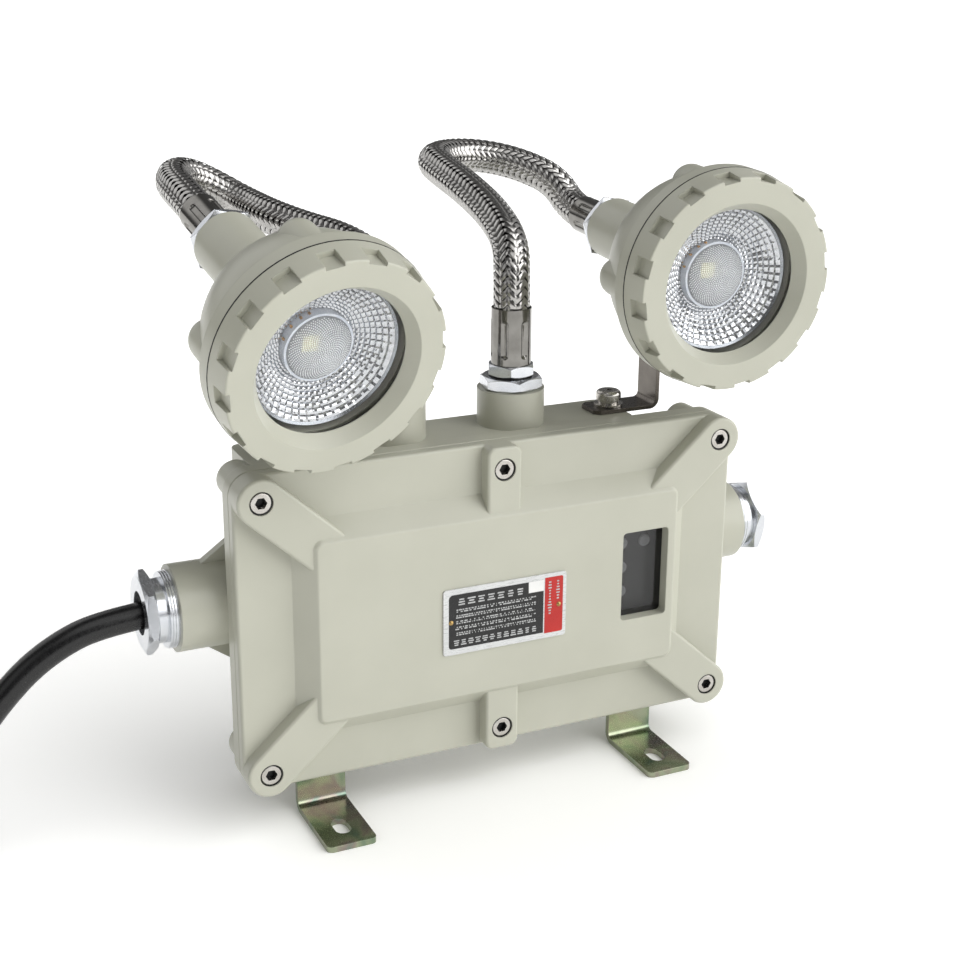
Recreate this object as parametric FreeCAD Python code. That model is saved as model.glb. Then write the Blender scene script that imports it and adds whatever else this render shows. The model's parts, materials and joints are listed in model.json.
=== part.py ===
import FreeCAD, Part
import math
import os

V = FreeCAD.Vector
X_AXIS = V(1, 0, 0)
Y_AXIS = V(0, 1, 0)
Z_AXIS = V(0, 0, 1)

# Twin-head emergency exit light in a cast, bolted case. Millimetres.
# X runs across the lid, Y runs back from the lid's screw faces and Z is up from the floor.
# Everything is drawn about the lid and moved at the end, so that the origin
# lies on the floor under the middle of the rigid lamp.

# Fits and gaps
pivot_clearance = 0.05
joint_gap = 0.15
seat_clearance = 0.1
hose_clearance = 0.3

# Lid
lid_width = 262.6
lid_height = 158.0
lid_depth = 14.0
floor_to_lid = 24.6
screw_inset = 11.3
panel_wall = 6.0
plateau_width = 190.0
plateau_height = 90.0
plateau_rise = 1.5
plateau_slope = 9.5
plateau_corner = 3.0
mid_ridge_width = 17.6
mid_ridge_corner = 4.0
ridge_overlap = 14.0
soft_edge = 1.5
seam_chamfer = 0.6
pocket_wall = 4.0
plateau_wall = 6.0

# Lid screws and washers
lid_screw_r = 3.0
lid_screw_head_r = 5.0
lid_screw_head = 6.0
lid_screw_reach = 12.0
lid_screw_sink = 0.5
lid_socket_af = 5.0
lid_socket_depth = 3.2
lid_washer_r = 5.3
lid_washer = 1.2
counterbore_gap = 0.6
lid_screw_round = 0.6

# Case
flange_depth = 10.0
case_width = 236.0
case_height = 128.0
case_depth = 56.0
case_wall = 6.0
case_back_wall = 5.0
case_corner = 12.0
case_back_round = 3.0
screw_boss_r = 9.0
screw_boss = 16.0
seal_width = 2.6
seal_depth = 2.0
seal_inset = 3.2
hex_face_share = 0.98
hex_chamfer_share = 0.6

# Saddle on the roof of the case
saddle_height = 12.7
saddle_depth = 37.0
saddle_left = -116.0
saddle_right = 86.0
saddle_corner = 6.0
roof_y = 44.5

# Window and its indicator panel
window_x = 78.0
window_z = 2.5
window_width = 26.0
window_height = 47.0
window_corner = 2.0
glass_border = 3.0
glass_depth = 5.0
retainer_depth = 2.0
retainer_ears = 6.5
board_depth = 1.6
indicator_r = 3.2
indicator_rise = 1.4
indicator_round = 1.0
indicator_x = -6.5
indicator_pitch = 13.0
retainer_screw_r = 1.5
retainer_screw_head_r = 2.7
retainer_screw_head = 1.8
retainer_boss_r = 3.2

# Nameplate
plate_width = 66.0
plate_height = 34.0
plate_depth = 0.8
plate_z = -5.0
plate_corner = 1.5
rivet_r = 1.3
rivet_rise = 0.9
rivet_inset = 4.0

# Side cable glands
gland_y = 42.5
gland_above_centre = 7.0
gland_boss_r = 21.0
gland_boss_length = 35.0
gland_bore_r = 13.0
gland_rib = 5.0
gland_rib_reach = 20.0
gland_rib_rise = 15.0
gland_spigot = 14.0
gland_collar_r = 18.2
gland_collar = 4.5
gland_neck_r = 15.5
gland_neck = 5.0
gland_nut_af = 35.5
gland_nut = 5.5
gland_nut_lip = 2.0
gland_nut_turn = 12.0
gland_mouth_r = 10.5
gland_tube_r = 11.5
gland_seal_length = 16.0
gland_plug = 7.0

# Conduit sockets and hose fittings
conduit_x = {"left": -40.0, "right": 24.0}
conduit_boss_r = 16.8
conduit_boss = 18.3
conduit_bore_r = 9.0
adapter_spigot = 12.0
adapter_af = 28.0
adapter_hex = 6.0
adapter_turn = 20.0
adapter_wall = 3.0
fitting_washer = 0.6
fitting_washer_r = 11.0
swivel_af = 22.0
swivel_hex = 5.5
swivel_turn = 5.0
adapter_bore_r = 5.0
ferrule_r = 9.8
ferrule_length = 28.0
ferrule_flute_r = 3.0
ferrule_flute_depth = 0.9
ferrule_flute_length = 15.0
ferrule_flutes = 6
ferrule_flute_start = 5.5
ferrule_flute_turn = 15.0
ferrule_socket = 6.0
hose_r = 9.0

# Lamp brackets
pan_x = {"left": -76.0, "right": 80.0}
bracket_width = 18.0
bracket_plate = 2.0
bracket_reach = 24.6
bracket_free_end = 12.0
bracket_cut = 3.0
bracket_bend_r = 3.0
pivot_rise = 33.65
pan_screw_r = 3.0
pan_head_r = 6.4
pan_head = 5.0
pan_head_round = 2.0
pan_recess_r = 1.6
pan_recess = 2.0
pan_spring_washer_r = 5.2
pan_spring_washer = 1.8
pan_flat_washer_r = 7.5
pan_flat_washer = 1.2
pan_screw_reach = 10.0
tilt_screw_r = 3.0
tilt_head_r = 5.5
tilt_head = 4.0
tilt_socket_af = 5.0
tilt_socket = 2.5
tilt_washer_r = 6.5
tilt_washer = 1.4

# Lamp heads, measured back from the front face
rest_tilt = {"left": 17.5, "right": 4.0}
rest_pan = {"left": 7.0, "right": 0.0}
pivot_behind_face = 66.0
pivot_below_axis = 46.0
lug_width = 7.0
lug_top_width = 30.0
lug_top_below_axis = 10.5
bezel_r = 53.0
bezel_depth = 15.0
bezel_face_r = 51.4
bezel_round = 0.8
bezel_mouth_r = 39.0
bezel_notches = 16
notch_width = 8.6
notch_length = 9.5
notch_depth = 2.0
notch_turn = 13.0
light_r = 34.8
light_depth = 7.0
gasket_depth = 1.0
front_glass_r = 42.0
front_glass = 5.0
thread_r = 47.0
spigot_wall_gap = 0.4
housing_flange_r = 53.0
housing_flange = 10.0
dome_root_r = 49.0
dome_mid_r = 40.5
dome_mid = 52.0
dome_end_r = 21.0
dome_end = 71.0
neck_r = 16.0
neck_cone = 3.0
neck_chamfer = 1.0
neck_end = 120.0
neck_bore_r = 8.0
neck_bore = 40.0
wire_hole_r = 4.0
lamp_bore_r = 38.0
lamp_floor = 43.0
lobe_count = 4
lobe_r = 9.5
lobe_pitch_r = 40.0
lobe_end = 42.0
lobe_turn = 5.0
rib_r = 3.6
rib_pitch_r = 24.0
rib_end = 66.0
neck_hex_af = 30.0
neck_hex = 3.5
neck_hex_turn = 10.0
neck_spigot = 10.0
reflector_r = 34.0
reflector_throat_r = 16.5
reflector_depth = 21.0
reflector_mid = 11.55
reflector_mid_r = 27.35
reflector_wall = 1.2
reflector_flange_r = 37.5
lens_r = 15.0
lens_rise = 9.0
lens_rim = 2.0
lens_wall = 2.0
lens_flange_r = 17.5
led_board_r = 30.0
led_board = 1.6
led_size = 7.0
led_rise = 0.8

# Feet
foot_x = 87.5
foot_width = 25.0
foot_plate = 3.0
foot_bend_r = 3.0
foot_length = 47.0
foot_corner = 3.0
foot_slot_width = 8.0
foot_slot_length = 14.0
foot_slot_from_end = 16.8
front_foot_gap = 1.6
rear_foot_lap = 23.4
foot_screw_r = 2.5
foot_screw_head_r = 4.6
foot_screw_head = 3.0
foot_screw_round = 1.2
foot_screw_reach = 6.0
foot_screw_inset = 7.0
rear_screw_inset = 8.0
rear_pad = 3.0
rear_pad_r = 6.6

# Pieces inside the case
battery_width = 96.0
battery_height = 38.0
battery_depth = 34.0
battery_x = -30.0
battery_floor_gap = 9.0
battery_corner = 3.0
strap_width = 14.0
strap_plate = 1.2
strap_foot = 11.0
board_width = 78.0
board_height = 88.0
board_x = 62.0
board_z = -4.0
standoff_r = 4.0
standoff = 16.0
component_corner = 2.0
board_screw_inset = 5.0
board_screw_reach = 6.0
terminal_width = 44.0
terminal_height = 20.0
terminal_depth = 18.0
terminal_x = -70.0
terminal_z = 30.0
terminal_holes = 4
terminal_pitch = 9.6
terminal_hole_r = 2.6
terminal_hole = 6.0
transformer_size = 30.0
transformer_depth = 18.0

# Supply cable
cable_r = 6.5
coil_r = 70.0
coil_x = -352.0
coil_section = 13.0
coil_layers = 2
core_r = 1.6
core_length = 24.0
core_pitch_r = 2.6
core_count = 3

# Cable route: x, distance behind the gland's centre line, height above the floor.
# It starts in the gland's bore and ends on the coil's front edge.
cable_route = [
    (-124.0, 0.0, 110.6),
    (-181.0, 0.0, 110.6),
    (-213.0, 0.3, 98.5),
    (-238.0, 0.6, 75.0),
    (-257.0, 0.9, 47.0),
    (-279.0, 1.0, 22.0),
    (-309.0, 0.6, 7.6),
    (-344.0, 0.0, 6.7),
]

# Hose routes between the two fittings, measured from the lid's centre height
hose_route = {
    "right": [
        (29.5, 57.0, 164.0),
        (32.5, 83.0, 174.0),
        (30.5, 111.0, 183.0),
        (30.0, 139.0, 188.0),
        (31.5, 162.0, 191.5),
        (52.0, 179.0, 191.5),
        (73.5, 178.0, 189.5),
        (90.0, 167.0, 185.0),
        (103.5, 153.0, 177.5),
    ],
    "left": [
        (-44.5, 57.0, 162.5),
        (-51.0, 79.0, 167.5),
        (-60.0, 103.0, 169.0),
        (-70.5, 126.0, 172.5),
        (-74.0, 162.0, 174.5),
        (-89.5, 171.5, 184.0),
        (-100.0, 170.0, 189.0),
        (-109.0, 162.5, 191.0),
        (-114.0, 150.0, 188.5),
    ],
}
hose_lead = {"left": 24.0, "right": 20.0}
hose_roof_lead = 13.0

# Places worked out from the sizes
lid_z = floor_to_lid + lid_height / 2
screw_x = lid_width / 2 - screw_inset
screw_z = lid_height / 2 - screw_inset
panel_face = lid_depth - panel_wall
plateau_face = -plateau_rise
pocket_face = plateau_face + plateau_wall
pocket_slope = plateau_slope * (pocket_face - plateau_face) / (panel_face - plateau_face)
pocket_width = plateau_width + 2 * (pocket_slope - pocket_wall)
pocket_height = plateau_height + 2 * (pocket_slope - pocket_wall)
flange_back = lid_depth + flange_depth
case_back = lid_depth + case_depth
cavity_back = case_back - case_back_wall
cavity_width = case_width - 2 * case_wall
cavity_height = case_height - 2 * case_wall
cavity_corner = case_corner - case_wall
case_top = lid_z + case_height / 2
case_bottom = lid_z - case_height / 2
front_foot_height = case_bottom - front_foot_gap
rear_foot_height = case_bottom + rear_foot_lap
battery_z = battery_floor_gap + battery_height / 2 - cavity_height / 2
saddle_top = case_top + saddle_height
gland_z = lid_z + gland_above_centre
gland_boss_reach = case_width / 2 + gland_boss_length
gland_tube_end = gland_boss_reach + gland_collar + gland_neck + gland_nut - gland_nut_lip
ridge_back = panel_face + 2 * soft_edge
conduit_top = saddle_top + conduit_boss
counterbore_r = lid_screw_head_r + counterbore_gap
lid_screw_seat = lid_screw_sink + lid_screw_head + lid_washer
tab_bottom = saddle_top + joint_gap
tab_top = tab_bottom + bracket_plate
pivot_z = tab_bottom + pivot_rise
lug_inner = bracket_reach + joint_gap
axis_offset = lug_inner + lug_width / 2
side_sign = {"left": -1, "right": 1}
SIDES = ("left", "right")


def prism(outline, direction):
    """A closed outline of edges, filled and pushed along a direction."""
    return Part.Face(Part.Wire(Part.__sortEdges__(outline))).extrude(direction)


def polygon(points, direction):
    """A straight-sided outline pushed along a direction."""
    return Part.Face(Part.makePolygon(points + [points[0]])).extrude(direction)


def rounded_outline(width, height, corner, x, y, z):
    """Edges of a round-cornered rectangle that faces along Y."""
    x0, x1 = x - width / 2, x + width / 2
    z0, z1 = z - height / 2, z + height / 2
    edges = [
        Part.makeLine(V(x0 + corner, y, z0), V(x1 - corner, y, z0)),
        Part.makeLine(V(x1, y, z0 + corner), V(x1, y, z1 - corner)),
        Part.makeLine(V(x1 - corner, y, z1), V(x0 + corner, y, z1)),
        Part.makeLine(V(x0, y, z1 - corner), V(x0, y, z0 + corner)),
    ]
    k = corner * (1 - math.sqrt(0.5))
    for cx, cz in ((x0, z0), (x1, z0), (x1, z1), (x0, z1)):
        sx = 1 if cx == x0 else -1
        sz = 1 if cz == z0 else -1
        start = V(cx + sx * corner, y, cz)
        middle = V(cx + sx * k, y, cz + sz * k)
        end = V(cx, y, cz + sz * corner)
        edges.append(Part.Arc(start, middle, end).toShape())
    return edges


def rounded_slab(width, height, corner, y0, y1, x=0.0, z=lid_z):
    """A round-cornered plate or block between two planes across Y."""
    return prism(rounded_outline(width, height, corner, x, y0, z), V(0, y1 - y0, 0))


def block(x0, x1, y0, y1, z0, z1):
    return Part.makeBox(x1 - x0, y1 - y0, z1 - z0, V(x0, y0, z0))


def rod(r, start, end):
    """A plain round bar from one point to another."""
    axis = end - start
    return Part.makeCylinder(r, axis.Length, start, axis)


def tube(r_out, r_in, start, end):
    return rod(r_out, start, end).cut(rod(r_in, start, end))


def hexagon(across_flats, start, end, turn=0.0):
    """A hexagon bar with its corners chamfered at both ends."""
    axis = end - start
    length = axis.Length
    r = across_flats / math.sqrt(3)
    angles = [math.radians(turn + 60 * i) for i in range(6)]
    points = [V(r * math.cos(a), r * math.sin(a), 0) for a in angles]
    bar = polygon(points, V(0, 0, length))
    drop = (r - across_flats / 2) * hex_chamfer_share
    face_r = across_flats / 2 * hex_face_share
    cone_r = r + 0.01
    profile = [V(0, 0, 0), V(face_r, 0, 0), V(cone_r, 0, drop)]
    profile += [V(cone_r, 0, length - drop), V(face_r, 0, length), V(0, 0, length)]
    turned = Part.Face(Part.makePolygon(profile + [profile[0]])).revolve(V(0, 0, 0), Z_AXIS, 360)
    bar = bar.common(turned)
    bar.Placement = FreeCAD.Placement(start, FreeCAD.Rotation(Z_AXIS, axis))
    return bar


def turned_y(edges):
    """Edges in the XY plane, x as radius and y as depth, turned about the Y axis."""
    return Part.Face(Part.Wire(edges)).revolve(V(0, 0, 0), Y_AXIS, 360)


def joined(shapes):
    """Several solids made into one."""
    whole = shapes[0].fuse(shapes[1:])
    return whole.removeSplitter()


def group(shapes):
    """Separate solids kept side by side in one node."""
    return Part.makeCompound(shapes)


def softened(shape, radius, wanted):
    """Rounds the edges that the test picks."""
    return shape.makeFillet(radius, [e for e in shape.Edges if wanted(e)])


def chamfered(shape, size, wanted):
    """Bevels the edges that the test picks."""
    return shape.makeChamfer(size, [e for e in shape.Edges if wanted(e)])


def lies_at_y(edge, y):
    box = edge.BoundBox
    return abs(box.YMin - y) < 1e-6 and abs(box.YMax - y) < 1e-6


def route_wire(points):
    """Straight runs joined by tangent arcs, each as large as its two runs allow."""
    edges = []
    radii = []
    last = points[0]
    for before, corner, after in zip(points, points[1:], points[2:]):
        into = corner - before
        out = after - corner
        half = into.getAngle(out) / 2
        setback = 0.45 * min(into.Length, out.Length)
        radii.append(setback / math.tan(half))
        into.normalize()
        out.normalize()
        start = corner - into * setback
        end = corner + out * setback
        inward = out - into
        inward.normalize()
        middle = corner + inward * (radii[-1] / math.cos(half) - radii[-1])
        edges.append(Part.LineSegment(last, start).toShape())
        edges.append(Part.Arc(start, middle, end).toShape())
        last = end
    edges.append(Part.LineSegment(last, points[-1]).toShape())
    return Part.Wire(edges), radii


def swept(points, r, name):
    """A round tube along a route; prints its length and its arcs."""
    wire, radii = route_wire(points)
    start = points[0]
    direction = points[1] - points[0]
    profile = Part.Wire(Part.makeCircle(r, start, direction))
    solid = wire.makePipeShell([profile], True, False)
    expected = math.pi * r * r * wire.Length
    print(name, "length", round(wire.Length, 1), "radii", [round(x) for x in radii],
          "volume ratio", round(solid.Volume / expected, 4))
    return solid


def lid_screw_places():
    corners = [(sx * screw_x, lid_z + sz * screw_z) for sx in (-1, 1) for sz in (-1, 1)]
    return corners + [(0.0, lid_z + screw_z), (0.0, lid_z - screw_z)]


def window_screw_places():
    reach = window_height / 2 + glass_border + retainer_ears / 2
    return [(window_x, lid_z + window_z + s * reach) for s in (-1, 1)]


def corner_ridge(sx, sz):
    """A flat-topped ridge from a corner screw that runs in under the plateau's corner."""
    start = V(sx * screw_x, 0, lid_z + sz * screw_z)
    end = V(sx * plateau_width / 2, 0, lid_z + sz * plateau_height / 2)
    along = end - start
    along.normalize()
    end += along * ridge_overlap
    across = V(along.z, 0, -along.x) * screw_inset
    depth = V(0, ridge_back, 0)
    bar = polygon([start + across, end + across, end - across, start - across], depth)
    front = [e for e in bar.Edges if lies_at_y(e, 0)]
    bar = bar.makeFillet(soft_edge, sorted(front, key=lambda e: e.Length)[-2:])
    boss = Part.makeCylinder(screw_inset, ridge_back, V(start.x, 0, start.z), Y_AXIS)
    boss = softened(boss, soft_edge, lambda e: lies_at_y(e, 0))
    return [bar, boss]


def make_lid():
    """Cast lid: a thin panel, a raised plateau with sloping sides, and ridges to the screws."""
    panel = rounded_slab(lid_width, lid_height, screw_inset, panel_face, lid_depth)
    panel = softened(panel, soft_edge, lambda e: lies_at_y(e, panel_face))
    panel = chamfered(panel, seam_chamfer, lambda e: lies_at_y(e, lid_depth))
    foot = rounded_outline(plateau_width + 2 * plateau_slope, plateau_height + 2 * plateau_slope,
                           plateau_corner + plateau_slope, 0, panel_face, lid_z)
    face = rounded_outline(plateau_width, plateau_height, plateau_corner, 0, plateau_face, lid_z)
    wires = [Part.Wire(Part.__sortEdges__(edges)) for edges in (foot, face)]
    plateau = Part.makeLoft(wires, True, True)
    plateau = softened(plateau, soft_edge, lambda e: lies_at_y(e, plateau_face))
    shapes = [panel, plateau]
    for sx in (-1, 1):
        for sz in (-1, 1):
            shapes += corner_ridge(sx, sz)
    for sz in (-1, 1):
        edge_z = lid_z + sz * lid_height / 2
        inner_z = lid_z + sz * plateau_height / 2
        z0, z1 = sorted((edge_z, inner_z))
        ridge = block(-mid_ridge_width / 2, mid_ridge_width / 2, 0, ridge_back, z0, z1)
        ridge = softened(ridge, mid_ridge_corner,
                         lambda e: e.BoundBox.YLength > soft_edge
                         and abs(e.BoundBox.ZMin - edge_z) < 1e-6)
        shapes.append(softened(ridge, soft_edge, lambda e: lies_at_y(e, 0)))
    lid = joined(shapes)
    pocket = rounded_slab(pocket_width, pocket_height, plateau_corner, pocket_face, lid_depth + 1)
    window = rounded_slab(window_width, window_height, window_corner, plateau_face - 1, lid_depth,
                          window_x, lid_z + window_z)
    cuts = [pocket, window]
    for x, z in lid_screw_places():
        cuts.append(rod(counterbore_r, V(x, -1, z), V(x, lid_screw_seat, z)))
        cuts.append(rod(lid_screw_r + counterbore_gap / 2, V(x, -1, z), V(x, lid_depth + 1, z)))
    lid = lid.cut(cuts)
    bosses = []
    for x, z in window_screw_places():
        seat = pocket_face + glass_depth
        boss = rod(retainer_boss_r, V(x, pocket_face - 1, z), V(x, seat, z))
        bosses.append(boss.cut(rod(retainer_screw_r + seat_clearance, V(x, pocket_face, z),
                                   V(x, seat, z))))
    return joined([lid] + bosses)


def make_lid_screws():
    """Six socket-head screws, sunk just below the lid's screw faces."""
    screws = []
    for x, z in lid_screw_places():
        top = lid_screw_sink
        under = top + lid_screw_head
        head = rod(lid_screw_head_r, V(x, top, z), V(x, under, z))
        head = softened(head, lid_screw_round, lambda e: lies_at_y(e, top))
        shank = rod(lid_screw_r, V(x, under - 0.5, z), V(x, lid_depth + lid_screw_reach, z))
        socket = hexagon(lid_socket_af, V(x, top - 1, z), V(x, top + lid_socket_depth, z))
        screws.append(head.fuse(shank).removeSplitter().cut(socket))
    return screws


def make_lid_washers():
    rings = []
    for x, z in lid_screw_places():
        top = lid_screw_sink + lid_screw_head
        rings.append(tube(lid_washer_r, lid_screw_r + seat_clearance, V(x, top, z),
                          V(x, top + lid_washer, z)))
    return rings


def seal_outline(grow):
    width = cavity_width + 2 * seal_inset + 2 * grow
    height = cavity_height + 2 * seal_inset + 2 * grow
    return width, height, cavity_corner + seal_inset + grow


def seal_ring(inner_grow, outer_grow):
    """A flat ring round the case's mouth, sunk into the flange."""
    outer = rounded_slab(*seal_outline(outer_grow), lid_depth, lid_depth + seal_depth)
    inner = rounded_slab(*seal_outline(inner_grow), lid_depth, lid_depth + seal_depth)
    return outer.cut(inner)


def gland_ribs(side):
    """Four webs that brace a side boss against the case."""
    s = side_sign[side]
    wall = s * (case_width / 2 - 1)
    tip = s * (case_width / 2 + gland_rib_reach)
    inner_r = gland_boss_r - 2
    outer_r = gland_boss_r + gland_rib_rise
    ribs = []
    for direction in (V(0, 0, 1), V(0, 0, -1), V(0, 1, 0)):
        across = V(0, 1, 0) if direction.y == 0 else V(0, 0, 1)
        centre = V(0, gland_y, gland_z) - across * (gland_rib / 2)
        reach = min(outer_r, case_back - gland_y) if direction.y == 1 else outer_r
        corners = [
            centre + V(wall, 0, 0) + direction * inner_r,
            centre + V(tip, 0, 0) + direction * inner_r,
            centre + V(tip, 0, 0) + direction * gland_boss_r,
            centre + V(wall, 0, 0) + direction * reach,
        ]
        ribs.append(polygon(corners, across * gland_rib))
    return ribs


def standoff_places():
    dx = board_width / 2 - board_screw_inset
    dz = board_height / 2 - board_screw_inset
    return [(board_x + sx * dx, lid_z + board_z + sz * dz) for sx in (-1, 1) for sz in (-1, 1)]


def front_foot_screw_z():
    return front_foot_height - foot_screw_inset


def rear_foot_screw_z():
    return rear_foot_height - rear_screw_inset


def make_case():
    """Cast case: flange, hollow box, roof saddle, hose sockets and side bosses."""
    flange = rounded_slab(lid_width, lid_height, screw_inset, lid_depth, flange_back)
    flange = softened(flange, soft_edge, lambda e: lies_at_y(e, flange_back))
    flange = chamfered(flange, seam_chamfer, lambda e: lies_at_y(e, lid_depth))
    box = rounded_slab(case_width, case_height, case_corner, lid_depth, case_back)
    box = softened(box, case_back_round, lambda e: lies_at_y(e, case_back))
    saddle_edges = rounded_outline(saddle_right - saddle_left, saddle_depth, saddle_corner,
                                   0, 0, 0)
    saddle = prism(saddle_edges, V(0, 1, 0) * (saddle_top - case_top + case_wall / 2))
    saddle.rotate(V(0, 0, 0), X_AXIS, 90)
    saddle.translate(V((saddle_left + saddle_right) / 2, roof_y, case_top - case_wall / 2))
    shapes = [flange, box, saddle]
    for side in SIDES:
        x = conduit_x[side]
        shapes.append(rod(conduit_boss_r, V(x, roof_y, case_top), V(x, roof_y, conduit_top)))
        s = side_sign[side]
        inner = V(s * (case_width / 2 - case_wall / 2), gland_y, gland_z)
        boss = rod(gland_boss_r, inner, V(s * gland_boss_reach, gland_y, gland_z))
        shapes.append(boss)
        shapes += gland_ribs(side)
    for x, z in lid_screw_places():
        shapes.append(rod(screw_boss_r, V(x, lid_depth + 1, z), V(x, flange_back + screw_boss, z)))
    body = joined(shapes)
    cavity = rounded_slab(cavity_width, cavity_height, cavity_corner, lid_depth - 1, cavity_back)
    clearance = seat_clearance
    cuts = [cavity, seal_ring(-seal_width / 2 - clearance, seal_width / 2 + clearance)]
    for side in SIDES:
        x = conduit_x[side]
        cuts.append(rod(conduit_bore_r, V(x, roof_y, lid_z), V(x, roof_y, conduit_top + 1)))
        s = side_sign[side]
        cuts.append(rod(gland_bore_r, V(0, gland_y, gland_z),
                        V(s * (gland_boss_reach + 1), gland_y, gland_z)))
        cuts.append(rod(pan_screw_r + seat_clearance, V(pan_x[side], roof_y, saddle_top + 1),
                        V(pan_x[side], roof_y, saddle_top - pan_screw_reach)))
        x = s * foot_x
        cuts.append(rod(foot_screw_r + seat_clearance, V(x, flange_back + 1, front_foot_screw_z()),
                        V(x, flange_back - foot_screw_reach, front_foot_screw_z())))
        cuts.append(rod(foot_screw_r + seat_clearance, V(x, case_back + 1, rear_foot_screw_z()),
                        V(x, cavity_back - 1, rear_foot_screw_z())))
    for x, z in lid_screw_places():
        cuts.append(rod(lid_screw_r + seat_clearance, V(x, lid_depth - 1, z),
                        V(x, lid_depth + lid_screw_reach, z)))
    body = body.cut(cuts)
    posts = []
    for x, z in standoff_places():
        posts.append(rod(standoff_r, V(x, cavity_back + 1, z), V(x, cavity_back - standoff, z)))
    for side in SIDES:
        x = side_sign[side] * foot_x
        z = rear_foot_screw_z()
        pad = rod(rear_pad_r, V(x, cavity_back + 1, z), V(x, cavity_back - rear_pad, z))
        posts.append(pad)
    body = joined([body] + posts)
    holes = [rod(retainer_screw_r + seat_clearance, V(x, cavity_back, z),
                 V(x, cavity_back - standoff - 1, z)) for x, z in standoff_places()]
    for side in SIDES:
        x = side_sign[side] * foot_x
        z = rear_foot_screw_z()
        holes.append(rod(foot_screw_r + seat_clearance, V(x, case_back + 1, z),
                         V(x, case_back - foot_screw_reach, z)))
    return body.cut(holes)


def make_window():
    """Thick glass behind the lid's opening, its retainer, indicator board and lights."""
    x, z = window_x, lid_z + window_z
    wide = window_width + 2 * glass_border
    tall = window_height + 2 * glass_border
    glass_back = pocket_face + glass_depth
    retainer_back = glass_back + retainer_depth
    board_back = retainer_back + board_depth
    glass = rounded_slab(wide, tall - 2 * seat_clearance, window_corner, pocket_face, glass_back, x, z)
    plates = []
    for y0, y1 in ((glass_back, retainer_back), (retainer_back, board_back)):
        plate = rounded_slab(wide, tall + 2 * retainer_ears, window_corner, y0, y1, x, z)
        plates.append(plate.cut([rod(retainer_screw_r + seat_clearance, V(sx, y0 - 1, sz),
                                     V(sx, y1 + 1, sz)) for sx, sz in window_screw_places()]))
    retainer, board = plates
    retainer = retainer.cut(rounded_slab(window_width, window_height, window_corner,
                                         glass_back - 1, retainer_back + 1, x, z))
    places = [(indicator_x, k * indicator_pitch) for k in (-1, 0, 1)] + [(-indicator_x, indicator_pitch)]
    lights = []
    for dx, dz in places:
        light = rod(indicator_r, V(x + dx, retainer_back - indicator_rise, z + dz),
                    V(x + dx, retainer_back, z + dz))
        front = retainer_back - indicator_rise
        lights.append(softened(light, indicator_round, lambda e: lies_at_y(e, front)))
    screws = []
    for sx, sz in window_screw_places():
        head = rod(retainer_screw_head_r, V(sx, board_back, sz),
                   V(sx, board_back + retainer_screw_head, sz))
        shank = rod(retainer_screw_r, V(sx, pocket_face + 0.5, sz), V(sx, board_back + 0.5, sz))
        screws.append(head.fuse(shank).removeSplitter())
    return glass, retainer, board, group(lights), group(screws)


def rivet_places():
    dx = plate_width / 2 - rivet_inset
    return [(-dx, lid_z + plate_z), (dx, lid_z + plate_z)]


def make_nameplate():
    plate = rounded_slab(plate_width, plate_height, plate_corner, plateau_face - plate_depth,
                         plateau_face, 0, lid_z + plate_z)
    rivets = []
    front = plateau_face - plate_depth
    for x, z in rivet_places():
        sphere_r = (rivet_r ** 2 + rivet_rise ** 2) / (2 * rivet_rise)
        ball = Part.makeSphere(sphere_r, V(x, front - rivet_rise + sphere_r, z))
        reach = 2 * rivet_r
        rivets.append(ball.common(block(x - reach, x + reach, front - reach, front,
                                        z - reach, z + reach)))
    return plate, group(rivets)


def make_gland(side):
    """Gland body and its nut, along X on one side of the case."""
    s = side_sign[side]

    def at(reach):
        return V(s * reach, gland_y, gland_z)

    face = gland_boss_reach
    collar_end = face + gland_collar
    nut_start = collar_end + gland_neck
    nut_end = nut_start + gland_nut
    tube_end = gland_tube_end
    body = joined([
        rod(gland_bore_r - seat_clearance, at(face - gland_spigot), at(face + 1)),
        rod(gland_collar_r, at(face), at(collar_end)),
        rod(gland_neck_r, at(collar_end - 1), at(tube_end)),
    ]).cut(rod(gland_tube_r, at(face - gland_spigot - 1), at(tube_end + 1)))
    nut = hexagon(gland_nut_af, at(nut_start), at(nut_end), gland_nut_turn)
    nut = nut.cut([
        rod(gland_neck_r + seat_clearance, at(nut_start - 1), at(tube_end)),
        rod(gland_mouth_r, at(nut_start), at(nut_end + 1)),
    ])
    return body, nut


def make_gland_seal():
    """Rubber sleeve that grips the cable inside the left gland."""
    end = gland_tube_end
    start = end - gland_seal_length
    return tube(gland_tube_r - seat_clearance, cable_r + seat_clearance,
                V(-start, gland_y, gland_z), V(-end, gland_y, gland_z))


def make_gland_plug():
    """Solid disc that closes the unused right gland."""
    end = gland_tube_end
    return rod(gland_tube_r - seat_clearance, V(end - gland_plug, gland_y, gland_z),
               V(end, gland_y, gland_z))


def fluted_ferrule(start, axis):
    """Pressed sleeve with long stamped flutes and a socket for the hose."""
    end = start + axis * ferrule_length
    sleeve = rod(ferrule_r + hose_clearance * 0.5, start, end)
    cutter_r = ferrule_flute_r
    side = V(1, 0, 0) if abs(axis.x) < 0.9 else V(0, 1, 0)
    side = side.cross(axis)
    side.normalize()
    cuts = [rod(hose_r + hose_clearance, end - axis * ferrule_socket, end + axis)]
    offset = ferrule_r + hose_clearance * 0.5 + cutter_r - ferrule_flute_depth
    for k in range(ferrule_flutes):
        turn = FreeCAD.Rotation(axis, 360.0 * k / ferrule_flutes + ferrule_flute_turn)
        radial = turn.multVec(side)
        base = start + axis * ferrule_flute_start + radial * offset
        top = base + axis * ferrule_flute_length
        cuts.append(joined([rod(cutter_r, base, top), Part.makeSphere(cutter_r, base),
                            Part.makeSphere(cutter_r, top)]))
    return sleeve.cut(cuts)


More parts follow.
